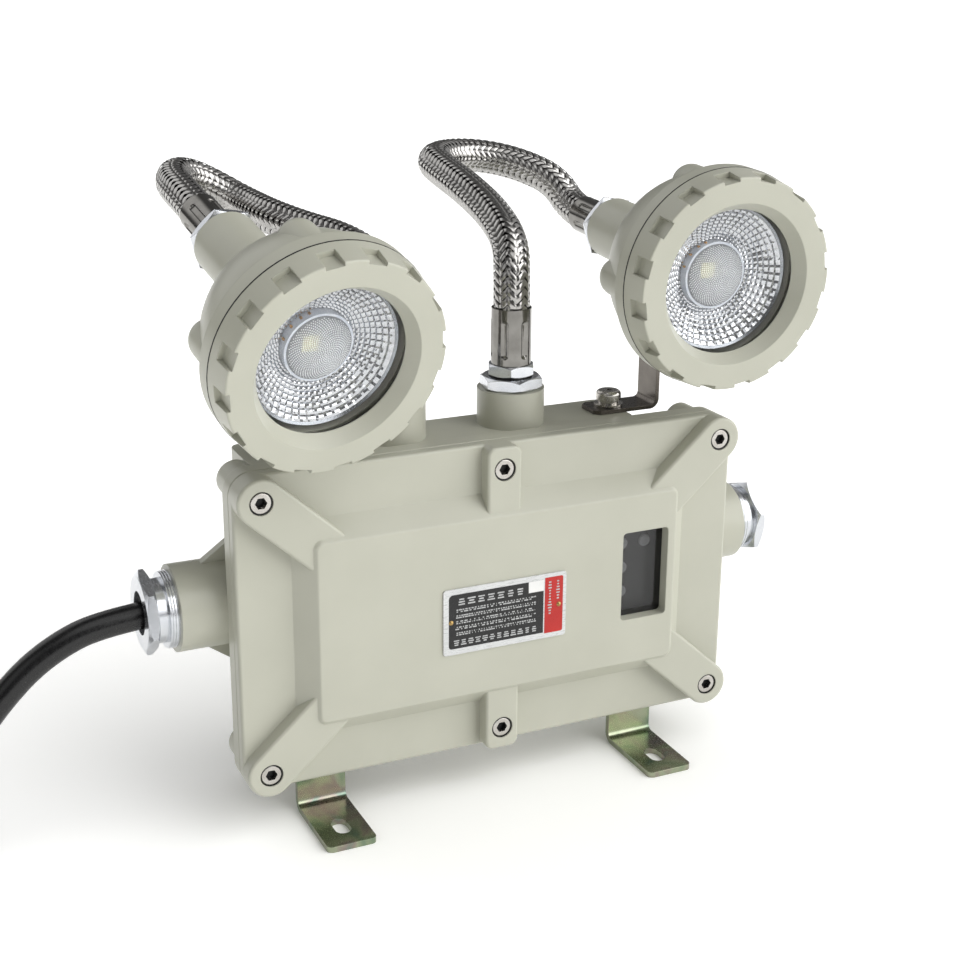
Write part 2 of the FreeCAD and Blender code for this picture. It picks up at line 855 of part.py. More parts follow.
def make_conduit(side):
    """Hexagon adapter, sealing washers, swivel nut and ferrule over one roof socket."""
    base = V(conduit_x[side], roof_y, conduit_top)
    up = Z_AXIS
    hex_top = base + up * adapter_hex
    nut_base = hex_top + up * fitting_washer
    nut_top = nut_base + up * swivel_hex
    stem_r = adapter_bore_r + adapter_wall
    adapter = joined([
        rod(conduit_bore_r - seat_clearance, base - up * adapter_spigot, base + up),
        hexagon(adapter_af, base, hex_top, adapter_turn),
        rod(stem_r, hex_top - up, nut_top - up),
    ]).cut(rod(adapter_bore_r, base - up * (adapter_spigot + 1), nut_top))
    washer = tube(fitting_washer_r, stem_r + seat_clearance, hex_top, nut_base)
    swivel = hexagon(swivel_af, nut_base, nut_top, swivel_turn)
    swivel = swivel.cut(rod(stem_r + seat_clearance, nut_base - up, nut_top - up))
    ferrule = fluted_ferrule(nut_top, up)
    return adapter, washer, swivel, ferrule, nut_top + up * ferrule_length


def turn_head(shape_or_point, side):
    """Moves a piece from the head's own frame to its place on the bracket.

    In its own frame the head looks along -Y from the origin and its lug hangs below the axis.
    """
    s = side_sign[side]
    pivot = V(pan_x[side] + s * axis_offset, roof_y, pivot_z)
    shift = FreeCAD.Placement(pivot + V(0, -pivot_behind_face, pivot_below_axis),
                              FreeCAD.Rotation())
    tilt = FreeCAD.Placement(V(0, 0, 0), FreeCAD.Rotation(X_AXIS, rest_tilt[side]), pivot)
    move = rest_pan_placement(side).multiply(tilt).multiply(shift)
    if isinstance(shape_or_point, FreeCAD.Vector):
        return move.multVec(shape_or_point)
    moved = shape_or_point.copy()
    moved.Placement = move.multiply(moved.Placement)
    return moved


def rest_pan_placement(side):
    centre = V(pan_x[side], roof_y, 0)
    return FreeCAD.Placement(V(0, 0, 0), FreeCAD.Rotation(Z_AXIS, rest_pan[side]), centre)


def make_bezel():
    """Screwed front ring with a bevelled mouth and grip notches round its front edge."""
    k = bezel_round * (1 - math.sqrt(0.5))
    flat_r = bezel_face_r - bezel_round
    edges = [
        Part.makeLine(V(bezel_mouth_r, 0, 0), V(flat_r, 0, 0)),
        Part.Arc(V(flat_r, 0, 0), V(bezel_face_r - k, k, 0),
                 V(bezel_face_r, bezel_round, 0)).toShape(),
        Part.makeLine(V(bezel_face_r, bezel_round, 0), V(bezel_r, bezel_depth, 0)),
        Part.makeLine(V(bezel_r, bezel_depth, 0), V(thread_r + seat_clearance, bezel_depth, 0)),
        Part.makeLine(V(thread_r + seat_clearance, bezel_depth, 0),
                      V(thread_r + seat_clearance, light_depth, 0)),
        Part.makeLine(V(thread_r + seat_clearance, light_depth, 0), V(light_r, light_depth, 0)),
        Part.makeLine(V(light_r, light_depth, 0), V(bezel_mouth_r, 0, 0)),
    ]
    ring = turned_y(edges)
    notches = []
    for k in range(bezel_notches):
        notch = block(-notch_width / 2, notch_width / 2, -1, notch_length,
                      bezel_face_r - notch_depth, bezel_r + 2)
        notch.rotate(V(0, 0, 0), Y_AXIS, 360.0 * k / bezel_notches + notch_turn)
        notches.append(notch)
    return ring.cut(notches)


def make_front_glass():
    y = light_depth + gasket_depth
    return rod(front_glass_r, V(0, y, 0), V(0, y + front_glass, 0))


def make_gasket():
    return tube(front_glass_r, light_r + 0.4, V(0, light_depth, 0),
                V(0, light_depth + gasket_depth, 0))


def make_housing():
    """Cast lamp housing: threaded spigot, flange, dome with lobes, neck and tilt lug."""
    flange_end = bezel_depth + housing_flange
    spigot_front = light_depth + gasket_depth
    glass_back = spigot_front + front_glass
    cone_end = dome_end + neck_cone
    edges = [
        Part.makeLine(V(0, glass_back, 0), V(thread_r, glass_back, 0)),
        Part.makeLine(V(thread_r, glass_back, 0), V(thread_r, bezel_depth, 0)),
        Part.makeLine(V(thread_r, bezel_depth, 0), V(housing_flange_r, bezel_depth, 0)),
        Part.makeLine(V(housing_flange_r, bezel_depth, 0), V(housing_flange_r, flange_end - 2, 0)),
        Part.makeLine(V(housing_flange_r, flange_end - 2, 0), V(dome_root_r, flange_end, 0)),
        Part.Arc(V(dome_root_r, flange_end, 0), V(dome_mid_r, dome_mid, 0),
                 V(dome_end_r, dome_end, 0)).toShape(),
        Part.makeLine(V(dome_end_r, dome_end, 0), V(neck_r, cone_end, 0)),
        Part.makeLine(V(neck_r, cone_end, 0), V(neck_r, neck_end - neck_chamfer, 0)),
        Part.makeLine(V(neck_r, neck_end - neck_chamfer, 0), V(neck_r - neck_chamfer, neck_end, 0)),
        Part.makeLine(V(neck_r - neck_chamfer, neck_end, 0), V(0, neck_end, 0)),
        Part.makeLine(V(0, neck_end, 0), V(0, glass_back, 0)),
    ]
    shapes = [turned_y(edges)]
    shapes.append(tube(thread_r, front_glass_r + spigot_wall_gap, V(0, spigot_front, 0),
                       V(0, glass_back + 1, 0)))
    for k in range(lobe_count):
        turn = math.radians(lobe_turn + 360.0 * k / lobe_count)
        x, z = lobe_pitch_r * math.cos(turn), lobe_pitch_r * math.sin(turn)
        shapes.append(rod(lobe_r, V(x, bezel_depth + 2, z), V(x, lobe_end, z)))
        shapes.append(Part.makeSphere(lobe_r, V(x, lobe_end, z)))
        turn += math.pi / lobe_count
        x, z = rib_pitch_r * math.cos(turn), rib_pitch_r * math.sin(turn)
        shapes.append(rod(rib_r, V(x, lamp_floor, z), V(x, rib_end, z)))
        shapes.append(Part.makeSphere(rib_r, V(x, rib_end, z)))
    shapes.append(make_lug())
    body = joined(shapes)
    cuts = [
        rod(lamp_bore_r, V(0, glass_back - 1, 0), V(0, lamp_floor, 0)),
        rod(wire_hole_r, V(0, lamp_floor - 1, 0), V(0, neck_end, 0)),
        rod(neck_bore_r, V(0, neck_end - neck_bore, 0), V(0, neck_end + 1, 0)),
        rod(tilt_screw_r + seat_clearance, V(-lug_width, pivot_behind_face, -pivot_below_axis),
            V(lug_width, pivot_behind_face, -pivot_below_axis)),
    ]
    return body.cut(cuts)


def make_lug():
    """Flat ear under the dome that takes the tilt screw, with a rounded end."""
    x0 = -lug_width / 2
    y, z = pivot_behind_face, -pivot_below_axis
    r = bracket_width / 2
    top = -lug_top_below_axis
    edges = [
        Part.Arc(V(x0, y - r, z), V(x0, y, z - r), V(x0, y + r, z)).toShape(),
        Part.makeLine(V(x0, y + r, z), V(x0, y + r, top)),
        Part.makeLine(V(x0, y + r, top), V(x0, y + r - lug_top_width, top)),
        Part.makeLine(V(x0, y + r - lug_top_width, top), V(x0, y - r, z)),
    ]
    return Part.Face(Part.Wire(edges)).extrude(V(lug_width, 0, 0))


def make_reflector():
    """Thin bowl whose front flange sits behind the glass."""
    y0 = light_depth + gasket_depth + front_glass
    y1 = y0 + reflector_depth
    t = reflector_wall
    mid_y = y0 + reflector_mid
    mid_r = reflector_mid_r
    edges = [
        Part.makeLine(V(reflector_r, y0, 0), V(reflector_flange_r, y0, 0)),
        Part.makeLine(V(reflector_flange_r, y0, 0), V(reflector_flange_r, y0 + t, 0)),
        Part.makeLine(V(reflector_flange_r, y0 + t, 0), V(reflector_r + t, y0 + t, 0)),
        Part.Arc(V(reflector_r + t, y0 + t, 0), V(mid_r + t, mid_y, 0),
                 V(reflector_throat_r + t, y1, 0)).toShape(),
        Part.makeLine(V(reflector_throat_r + t, y1, 0), V(reflector_throat_r, y1, 0)),
        Part.Arc(V(reflector_throat_r, y1, 0), V(mid_r, mid_y, 0),
                 V(reflector_r, y0, 0)).toShape(),
    ]
    return turned_y(edges)


def reflector_back():
    return light_depth + gasket_depth + front_glass + reflector_depth


def make_led_board():
    """Round metal board on the housing's floor, with a square LED on it."""
    disc = rod(led_board_r, V(0, lamp_floor - led_board, 0), V(0, lamp_floor, 0))
    half = led_size / 2
    face = lamp_floor - led_board
    led = block(-half, half, face - led_rise, face + 0.2, -half, half)
    return disc.fuse(led).removeSplitter()


def make_lens():
    """Domed lens on its holder, standing on the LED board in the reflector's throat."""
    board_face = lamp_floor - led_board
    back = reflector_back()
    cap_r = (lens_r ** 2 + lens_rise ** 2) / (2 * lens_rise)
    cap = Part.makeSphere(cap_r, V(0, back - lens_rim - lens_rise + cap_r, 0))
    cap = cap.common(rod(lens_r, V(0, back - lens_rim - lens_rise - 1, 0), V(0, back - lens_rim, 0)))
    barrel = rod(lens_r, V(0, back - lens_rim, 0), V(0, back + 1, 0))
    holder = rod(lens_flange_r, V(0, back, 0), V(0, board_face, 0))
    hollow = rod(lens_r - lens_wall, V(0, back, 0), V(0, board_face + 1, 0))
    return joined([cap, barrel, holder]).cut(hollow)


def make_neck_fitting():
    """Hexagon ring and ferrule on the back of the housing's neck."""
    start = V(0, neck_end, 0)
    hex_end = V(0, neck_end + neck_hex, 0)
    ring = joined([
        hexagon(neck_hex_af, start, hex_end, neck_hex_turn),
        rod(neck_bore_r - seat_clearance, V(0, neck_end - neck_spigot, 0), V(0, neck_end + 1, 0)),
    ])
    ring = ring.cut(rod(adapter_bore_r, V(0, neck_end - neck_spigot - 1, 0),
                        V(0, neck_end + neck_hex + 1, 0)))
    return ring, fluted_ferrule(hex_end, Y_AXIS)


def hose_head_point(side, past):
    """A point on the head's axis, a given way past the hose's seat in the ferrule."""
    seat = neck_end + neck_hex + ferrule_length - ferrule_socket
    return turn_head(V(0, seat + past, 0), side)


def make_bracket(side):
    """Bent steel bracket: a tab under the pan screw and a leg with the tilt hole."""
    s = side_sign[side]
    x0 = -bracket_free_end
    x1 = bracket_reach
    z0 = tab_bottom
    top = pivot_z
    r_in, r_out = bracket_bend_r, bracket_bend_r + bracket_plate
    t = bracket_plate
    half = bracket_width / 2
    k = math.sqrt(0.5)

    def p(x, z):
        return V(x, roof_y - half, z)

    edges = [
        Part.makeLine(p(x0, z0), p(x1 - r_out, z0)),
        Part.Arc(p(x1 - r_out, z0), p(x1 - r_out + r_out * k, z0 + r_out - r_out * k),
                 p(x1, z0 + r_out)).toShape(),
        Part.makeLine(p(x1, z0 + r_out), p(x1, top + half)),
        Part.makeLine(p(x1, top + half), p(x1 - t, top + half)),
        Part.makeLine(p(x1 - t, top + half), p(x1 - t, z0 + r_out)),
        Part.Arc(p(x1 - t, z0 + r_out), p(x1 - r_out + r_in * k, z0 + r_out - r_in * k),
                 p(x1 - r_out, z0 + t)).toShape(),
        Part.makeLine(p(x1 - r_out, z0 + t), p(x0, z0 + t)),
        Part.makeLine(p(x0, z0 + t), p(x0, z0)),
    ]
    plate = Part.Face(Part.Wire(edges)).extrude(V(0, bracket_width, 0))
    cut = bracket_cut
    corners = []
    for sy in (-1, 1):
        y = roof_y + sy * half
        corners.append(polygon([V(x0 - 1, y + sy, z0 - 1), V(x0 + cut + 1, y + sy, z0 - 1),
                                V(x0 - 1, y - sy * (cut + 1), z0 - 1)], V(0, 0, t + 2)))
    crown = block(x1 - t - 1, x1 + 1, roof_y - half - 1, roof_y + half + 1, top, top + half + 1)
    crown = crown.cut(rod(half, V(x1 - t - 2, roof_y, top), V(x1 + 2, roof_y, top)))
    holes = [
        rod(pan_screw_r + pivot_clearance, V(0, roof_y, z0 - 1), V(0, roof_y, z0 + t + 1)),
        rod(tilt_screw_r + pivot_clearance, V(x1 - t - 1, roof_y, top), V(x1 + 1, roof_y, top)),
    ]
    plate = plate.cut(corners + [crown] + holes)
    if s < 0:
        plate = plate.mirror(V(0, 0, 0), X_AXIS)
    plate.translate(V(pan_x[side], 0, 0))
    move = rest_pan_placement(side)
    plate.Placement = move.multiply(plate.Placement)
    return plate


def make_pan_screws():
    """Pan-head screws that clamp the brackets to the saddle, with their two washers each."""
    screws = []
    washers = []
    for side in SIDES:
        x = pan_x[side]
        flat = tab_top + joint_gap
        spring = flat + pan_flat_washer
        under = spring + pan_spring_washer
        head = rod(pan_head_r, V(x, roof_y, under), V(x, roof_y, under + pan_head))
        rim = [e for e in head.Edges if abs(e.BoundBox.ZMin - under - pan_head) < 1e-6]
        head = head.makeFillet(pan_head_round, rim)
        shank = rod(pan_screw_r, V(x, roof_y, saddle_top - pan_screw_reach),
                    V(x, roof_y, under + 0.5))
        top = under + pan_head
        recess = rod(pan_recess_r, V(x, roof_y, top - pan_recess), V(x, roof_y, top + 1))
        screws.append(head.fuse(shank).removeSplitter().cut(recess))
        bore = pan_screw_r + seat_clearance
        washers.append(tube(pan_flat_washer_r, bore, V(x, roof_y, flat), V(x, roof_y, spring)))
        washers.append(tube(pan_spring_washer_r, bore, V(x, roof_y, spring), V(x, roof_y, under)))
    return group(screws), group(washers)


def make_tilt_screw(side):
    """Screw through the bracket's leg into the lug, with a spring washer under its head."""
    s = side_sign[side]
    y, z = pivot_behind_face, -pivot_below_axis

    def p(x):
        return V(s * (x - axis_offset), y, z)

    leg_inner = bracket_reach - bracket_plate - joint_gap
    under = leg_inner - tilt_washer
    head = rod(tilt_head_r, p(under - tilt_head), p(under))
    shank = rod(tilt_screw_r, p(under - 0.5), p(lug_inner + lug_width))
    socket = hexagon(tilt_socket_af, p(under - tilt_head - 1), p(under - tilt_head + tilt_socket))
    screw = head.fuse(shank).removeSplitter().cut(socket)
    washer = tube(tilt_washer_r, tilt_screw_r + seat_clearance, p(under), p(leg_inner))
    return screw, washer


def foot_plate_shape(height, direction, back_y):
    """An L-shaped mounting foot: an upright leg and a slotted leg on the floor."""
    t = foot_plate
    r_in, r_out = foot_bend_r, foot_bend_r + foot_plate
    k = math.sqrt(0.5)
    half = foot_width / 2

    def p(y, z):
        return V(-half, back_y + direction * y, z)

    edges = [
        Part.makeLine(p(0, height), p(0, r_out)),
        Part.Arc(p(0, r_out), p(r_out - r_out * k, r_out - r_out * k), p(r_out, 0)).toShape(),
        Part.makeLine(p(r_out, 0), p(foot_length, 0)),
        Part.makeLine(p(foot_length, 0), p(foot_length, t)),
        Part.makeLine(p(foot_length, t), p(r_out, t)),
        Part.Arc(p(r_out, t), p(r_out - r_in * k, r_out - r_in * k), p(t, r_out)).toShape(),
        Part.makeLine(p(t, r_out), p(t, height)),
        Part.makeLine(p(t, height), p(0, height)),
    ]
    plate = Part.Face(Part.Wire(edges)).extrude(V(foot_width, 0, 0))
    end_y = back_y + direction * foot_length
    plate = softened(plate, foot_corner,
                     lambda e: abs(e.BoundBox.YMin - end_y) < 1e-6
                     and abs(e.BoundBox.YMax - end_y) < 1e-6
                     and e.BoundBox.ZLength > t - 0.1)
    slot_y = end_y - direction * foot_slot_from_end
    r = foot_slot_width / 2
    run = (foot_slot_length - foot_slot_width) / 2
    slot = joined([
        block(-r, r, slot_y - run, slot_y + run, -1, t + 1),
        rod(r, V(0, slot_y - run, -1), V(0, slot_y - run, t + 1)),
        rod(r, V(0, slot_y + run, -1), V(0, slot_y + run, t + 1)),
    ])
    return plate.cut(slot)


def make_feet():
    """Two front feet behind the flange, two rear feet on the case's back, and their screws."""
    feet = {}
    screws = []
    front_face = flange_back
    rear_face = case_back
    for side in SIDES:
        x = side_sign[side] * foot_x
        front = foot_plate_shape(front_foot_height, -1, front_face + foot_plate)
        rear = foot_plate_shape(rear_foot_height, 1, rear_face)
        for name, plate, face, z in (
            ("front_foot_" + side, front, front_face, front_foot_screw_z()),
            ("rear_foot_" + side, rear, rear_face, rear_foot_screw_z()),
        ):
            plate.translate(V(x, 0, 0))
            hole = rod(foot_screw_r + seat_clearance, V(x, face - 1, z),
                       V(x, face + foot_plate + 1, z))
            feet[name] = plate.cut(hole)
            under = face + foot_plate
            head = rod(foot_screw_head_r, V(x, under, z), V(x, under + foot_screw_head, z))
            top = under + foot_screw_head
            head = softened(head, foot_screw_round, lambda e: lies_at_y(e, top))
            shank = rod(foot_screw_r, V(x, face - foot_screw_reach, z), V(x, under + 0.5, z))
            screws.append(head.fuse(shank).removeSplitter())
    return feet, group(screws)


def make_battery():
    """Battery pack against the back wall, and the steel strap that holds it."""
    y1 = cavity_back
    y0 = y1 - battery_depth
    z = lid_z + battery_z
    pack = rounded_slab(battery_width, battery_height, battery_corner, y0, y1, battery_x, z)
    t = strap_plate
    half = strap_width / 2
    x0, x1 = battery_x - half, battery_x + half
    z0, z1 = z - battery_height / 2, z + battery_height / 2
    strap = joined([
        block(x0, x1, y0 - t, y0, z0 - t, z1 + t),
        block(x0, x1, y0 - t, y1, z0 - t, z0),
        block(x0, x1, y0 - t, y1, z1, z1 + t),
        block(x0, x1, y1 - t, y1, z1, z1 + strap_foot),
        block(x0, x1, y1 - t, y1, z0 - strap_foot / 2, z0),
    ])
    return pack, strap


def make_boards():
    """Circuit board on its posts with a transformer, and the supply terminal block."""
    back = cavity_back - standoff
    front = back - board_depth
    z = lid_z + board_z
    board = rounded_slab(board_width, board_height, component_corner, front, back, board_x, z)
    screws = []
    cuts = []
    for x, sz in standoff_places():
        cuts.append(rod(retainer_screw_r + seat_clearance, V(x, front - 1, sz), V(x, back + 1, sz)))
        head = rod(retainer_screw_head_r, V(x, front - retainer_screw_head, sz), V(x, front, sz))
        shank = rod(retainer_screw_r, V(x, front - 0.5, sz), V(x, back + board_screw_reach, sz))
        screws.append(head.fuse(shank).removeSplitter())
    board = board.cut(cuts)
    coil = rounded_slab(transformer_size, transformer_size, component_corner,
                        front - transformer_depth, front, board_x, z)
    face = cavity_back - terminal_depth
    terminal = rounded_slab(terminal_width, terminal_height, component_corner, face,
                            cavity_back, terminal_x, lid_z + terminal_z)
    slots = []
    for k in range(terminal_holes):
        x = terminal_x + (k - (terminal_holes - 1) / 2) * terminal_pitch
        slots.append(rod(terminal_hole_r, V(x, face - 1, lid_z + terminal_z),
                         V(x, face + terminal_hole, lid_z + terminal_z)))
    return board, group(screws), coil, terminal.cut(slots)


def make_cable():
    """Supply cable from the gland's bore to the floor, its coil and its bare cores."""
    points = [V(x, gland_y + dy, z) for x, dy, z in cable_route]
    end = points[-1]
    coil_y = end.y + coil_r
    height = coil_section * coil_layers
    outer_r = coil_r + coil_section / 2
    edge_x = coil_x + math.sqrt(outer_r ** 2 - coil_r ** 2)
    outer = Part.makeCylinder(outer_r, height, V(coil_x, coil_y, 0))
    inner = Part.makeCylinder(coil_r - coil_section / 2, height, V(coil_x, coil_y, 0))
    coil = outer.cut(inner)
    cable = swept(points, cable_r, "cable")
    cores = []
    for k in range(core_count):
        turn = math.radians(90 + 360 / core_count * k)
        dy, dz = core_pitch_r * math.cos(turn), core_pitch_r * math.sin(turn)
        start = V(coil_x, coil_y + coil_r + dy, height - coil_section / 2 + dz)
        tip = V(edge_x + core_length, start.y, start.z)
        cores.append(rod(core_r, start, tip).cut(outer))
    return cable.cut(coil), coil, group(cores)


def make_hose(side, fitting_top):
    """Braided hose from the roof ferrule to the ferrule behind the head."""
    first = [fitting_top - Z_AXIS * ferrule_socket, fitting_top + Z_AXIS * hose_roof_lead]
    middle = [V(x, y, lid_z + z) for x, y, z in hose_route[side]]
    last = [hose_head_point(side, hose_lead[side]), hose_head_point(side, 0)]
    return swept(first + middle + last, hose_r, "hose_" + side)


def build():
    """Every node of the lamp, by name."""
    nodes = {}
    nodes["lid"] = make_lid()
    nodes["lid_screws"] = group(make_lid_screws() + make_lid_washers())
    nodes["lid_seal"] = seal_ring(-seal_width / 2, seal_width / 2)
    nodes["case"] = make_case()
    glass, retainer, board, lights, screws = make_window()
    nodes["window_glass"] = glass
    nodes["window_retainer"] = retainer
    nodes["indicator_board"] = board
    nodes["indicator_lights"] = lights
    nodes["retainer_screws"] = screws
    nodes["nameplate"], nodes["nameplate_rivets"] = make_nameplate()
    glands = [make_gland(side) for side in SIDES]
    nodes["gland_bodies"] = group([body for body, nut in glands])
    nodes["gland_nuts"] = group([nut for body, nut in glands])
    nodes["gland_seal"] = make_gland_seal()
    nodes["gland_plug"] = make_gland_plug()
    fittings = [make_conduit(side) for side in SIDES]
    for k, name in enumerate(("hose_adapters", "fitting_washers", "hose_swivels", "roof_ferrules")):
        nodes[name] = group([fitting[k] for fitting in fittings])
    for side, fitting in zip(SIDES, fittings):
        nodes["hose_" + side] = make_hose(side, fitting[-1])
    nodes["pan_screws"], nodes["pan_washers"] = make_pan_screws()
    for side in SIDES:
        nodes["bracket_" + side] = make_bracket(side)
        ring, ferrule = make_neck_fitting()
        screw, washer = make_tilt_screw(side)
        for name, shape in (
            ("head_housing", make_housing()),
            ("head_bezel", make_bezel()),
            ("head_glass", make_front_glass()),
            ("head_gasket", make_gasket()),
            ("reflector", make_reflector()),
            ("lens", make_lens()),
            ("led_board", make_led_board()),
            ("neck_nut", ring),
            ("head_ferrule", ferrule),
            ("tilt_screw", group([screw, washer])),
        ):
            nodes[name + "_" + side] = turn_head(shape, side)
    feet, foot_screws = make_feet()
    nodes.update(feet)
    nodes["foot_screws"] = foot_screws
    nodes["battery"], nodes["battery_strap"] = make_battery()
    board, screws, transformer, terminal = make_boards()
    nodes["circuit_board"] = board
    nodes["board_screws"] = screws
    nodes["transformer"] = transformer
    nodes["terminal_block"] = terminal
    nodes["cable"], nodes["cable_coil"], nodes["cable_cores"] = make_cable()
    return nodes


CORD_NODES = ("cable", "cable_coil", "cable_cores", "hose_left", "hose_right")


def rest_shift(nodes):
    """The move that puts the origin under the middle of the rigid lamp."""
    box = FreeCAD.BoundBox()
    for name, shape in nodes.items():
        if name not in CORD_NODES:
            box.add(shape.BoundBox)
    return V(0, -(box.YMin + box.YMax) / 2, 0)


nodes = build()
shift = rest_shift(nodes)
os.makedirs("parts", exist_ok=True)
for name, shape in nodes.items():
    shape.translate(shift)
    shape.exportStep("parts/" + name + ".step")
for side in SIDES:
    pivot = turn_head(V(0, pivot_behind_face, -pivot_below_axis), side) + shift
    print("pan axis", side, round(pan_x[side], 3), round(roof_y + shift.y, 3))
    print("tilt pivot", side, [round(c, 3) for c in pivot], "axis turned", rest_pan[side])
print("moved back by", round(shift.y, 3), "nodes", len(nodes))
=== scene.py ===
# %% [markdown]
# # Twin-head emergency exit light
# The shapes with real sizes come packed from the CAD source, in metres and in one frame:
# X runs across the lid, Y runs back from it and Z is up from the floor.
# This script gives each of them its finish and adds what CAD leaves plain:
# the braided hoses, the coiled cable, the faceted reflectors and the print on the nameplate.

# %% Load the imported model
import json
import math

import bmesh
import bpy
import numpy as np
from mathutils import Matrix, Vector


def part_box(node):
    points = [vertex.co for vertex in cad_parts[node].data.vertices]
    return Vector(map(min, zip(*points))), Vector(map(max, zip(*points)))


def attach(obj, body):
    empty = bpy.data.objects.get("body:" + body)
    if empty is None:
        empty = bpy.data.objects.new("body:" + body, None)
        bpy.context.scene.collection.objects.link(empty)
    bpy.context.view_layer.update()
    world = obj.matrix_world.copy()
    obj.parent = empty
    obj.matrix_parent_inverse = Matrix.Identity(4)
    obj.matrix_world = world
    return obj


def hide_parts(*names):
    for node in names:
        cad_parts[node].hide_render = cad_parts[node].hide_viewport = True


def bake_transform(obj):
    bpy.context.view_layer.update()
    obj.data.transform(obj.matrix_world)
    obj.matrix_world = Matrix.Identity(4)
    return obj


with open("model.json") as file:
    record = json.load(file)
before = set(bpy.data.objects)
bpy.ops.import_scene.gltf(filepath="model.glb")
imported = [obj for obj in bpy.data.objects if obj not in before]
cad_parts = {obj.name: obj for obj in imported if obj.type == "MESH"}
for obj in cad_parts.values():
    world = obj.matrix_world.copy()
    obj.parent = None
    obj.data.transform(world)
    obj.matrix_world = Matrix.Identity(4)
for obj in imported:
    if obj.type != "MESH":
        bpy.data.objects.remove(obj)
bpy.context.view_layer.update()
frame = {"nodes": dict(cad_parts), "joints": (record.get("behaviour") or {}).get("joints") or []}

nodes = frame["nodes"]
scene = bpy.context.scene
SIDES = ("left", "right")
MM = 0.001

# %% [markdown]
# ## Camera
# The photograph was taken from the front left and a little above, with a lens a bit longer than normal.
# The place and the three angles were fitted to the lid's six screws, both lamp rings and the feet.
# A matrix is built from the angles, because it keeps the small roll that a "look at" constraint loses.

# %% Camera at the photograph's angle
camera_place = (-0.318784, -0.691298, 0.411459)
azimuth, elevation, roll = (math.radians(a) for a in (-25.0637, 18.6447, 0.3918))
back = Vector((math.sin(azimuth) * math.cos(elevation),
               -math.cos(azimuth) * math.cos(elevation), math.sin(elevation)))
level = (-back).cross(Vector((0, 0, 1))).normalized()
upward = level.cross(-back)
right = level * math.cos(roll) + upward * math.sin(roll)
up = upward * math.cos(roll) - level * math.sin(roll)
camera_data = bpy.data.cameras.new("camera")
camera_data.sensor_width = 36.0
camera_data.lens = 60.73
camera_data.clip_end = 100.0
camera = bpy.data.objects.new("camera", camera_data)
camera.matrix_world = Matrix.Translation(camera_place) @ Matrix((right, up, back)).transposed().to_4x4()
scene.collection.objects.link(camera)
scene.camera = camera
print("camera", [round(v, 3) for v in camera.location])

# %% [markdown]
# ## Small helpers
# Colours are written as sRGB hex, as a colour picker shows them, and one function turns them to the
# linear values that shaders use. One more adds a node with its settings and its links.

# %% Colour and node helpers
MATH, VECTOR_MATH = "ShaderNodeMath", "ShaderNodeVectorMath"


def linear(hex_colour):
    """sRGB hex to linear red, green, blue and alpha."""
    values = [int(hex_colour[i:i + 2], 16) / 255 for i in (1, 3, 5)]
    return tuple(v / 12.92 if v <= 0.04045 else ((v + 0.055) / 1.055) ** 2.4 for v in values) + (1.0,)


def add(tree, kind, inputs=(), operation=None, **settings):
    """Adds one node. The inputs are in the order of its sockets, or by a socket's name or number.

    An input is a plain value, another node's socket, or a node, which stands for its first output.
    """
    node = tree.nodes.new(kind)
    if operation:
        node.operation = operation
    for name, value in settings.items():
        setattr(node, name, value)
    for key, value in (inputs.items() if isinstance(inputs, dict) else enumerate(inputs)):
        if isinstance(value, bpy.types.Node):
            value = value.outputs[0]
        if isinstance(value, bpy.types.NodeSocket):
            tree.links.new(value, node.inputs[key])
        else:
            node.inputs[key].default_value = value
    return node


print("grey coat in linear light:", [round(v, 3) for v in linear("#B1B1A3")])

# %% Helpers that make an object
def new_object(name, data):
    """An object in the scene for a mesh or a curve."""
    piece = bpy.data.objects.new(name, data)
    scene.collection.objects.link(piece)
    return piece


def mesh_object(name, vertices, faces, material):
    """A mesh with flat faces and one material."""
    mesh = bpy.data.meshes.new(name)
    mesh.from_pydata([tuple(v) for v in vertices], [], faces)
    mesh.update()
    mesh.materials.append(material)
    return new_object(name, mesh)


print("object helpers ready")

# %% [markdown]
# Three more helpers serve the Geometry Nodes trees. One opens a tree with named inputs for its sizes and
# one closes it. The third runs it and turns the result into a plain mesh, because instances and live
# modifiers don't survive an export.

# %% Helpers for Geometry Nodes trees
SOCKETS = {int: "NodeSocketInt", float: "NodeSocketFloat", tuple: "NodeSocketVector"}


def new_tree(name, sizes):
    """A tree with named inputs: each has a usual value, or the name of its socket type if it has none."""
    tree = bpy.data.node_groups.new(name, "GeometryNodeTree")
    tree.interface.new_socket("Geometry", in_out="OUTPUT", socket_type="NodeSocketGeometry")
    for label, value in sizes.items():
        kind = SOCKETS.get(type(value), value)
        socket = tree.interface.new_socket(label, in_out="INPUT", socket_type=kind)
        if kind != value:
            socket.default_value = value
    return tree, tree.nodes.new("NodeGroupInput"), tree.nodes.new("NodeGroupOutput")


def finish_tree(tree, shape, material, result):
    """Ends a tree: its instances become real and get their material."""
    real = add(tree, "GeometryNodeRealizeInstances", (shape,))
    coated = add(tree, "GeometryNodeSetMaterial", {"Geometry": real, "Material": material})
    tree.links.new(coated.outputs[0], result.inputs[0])


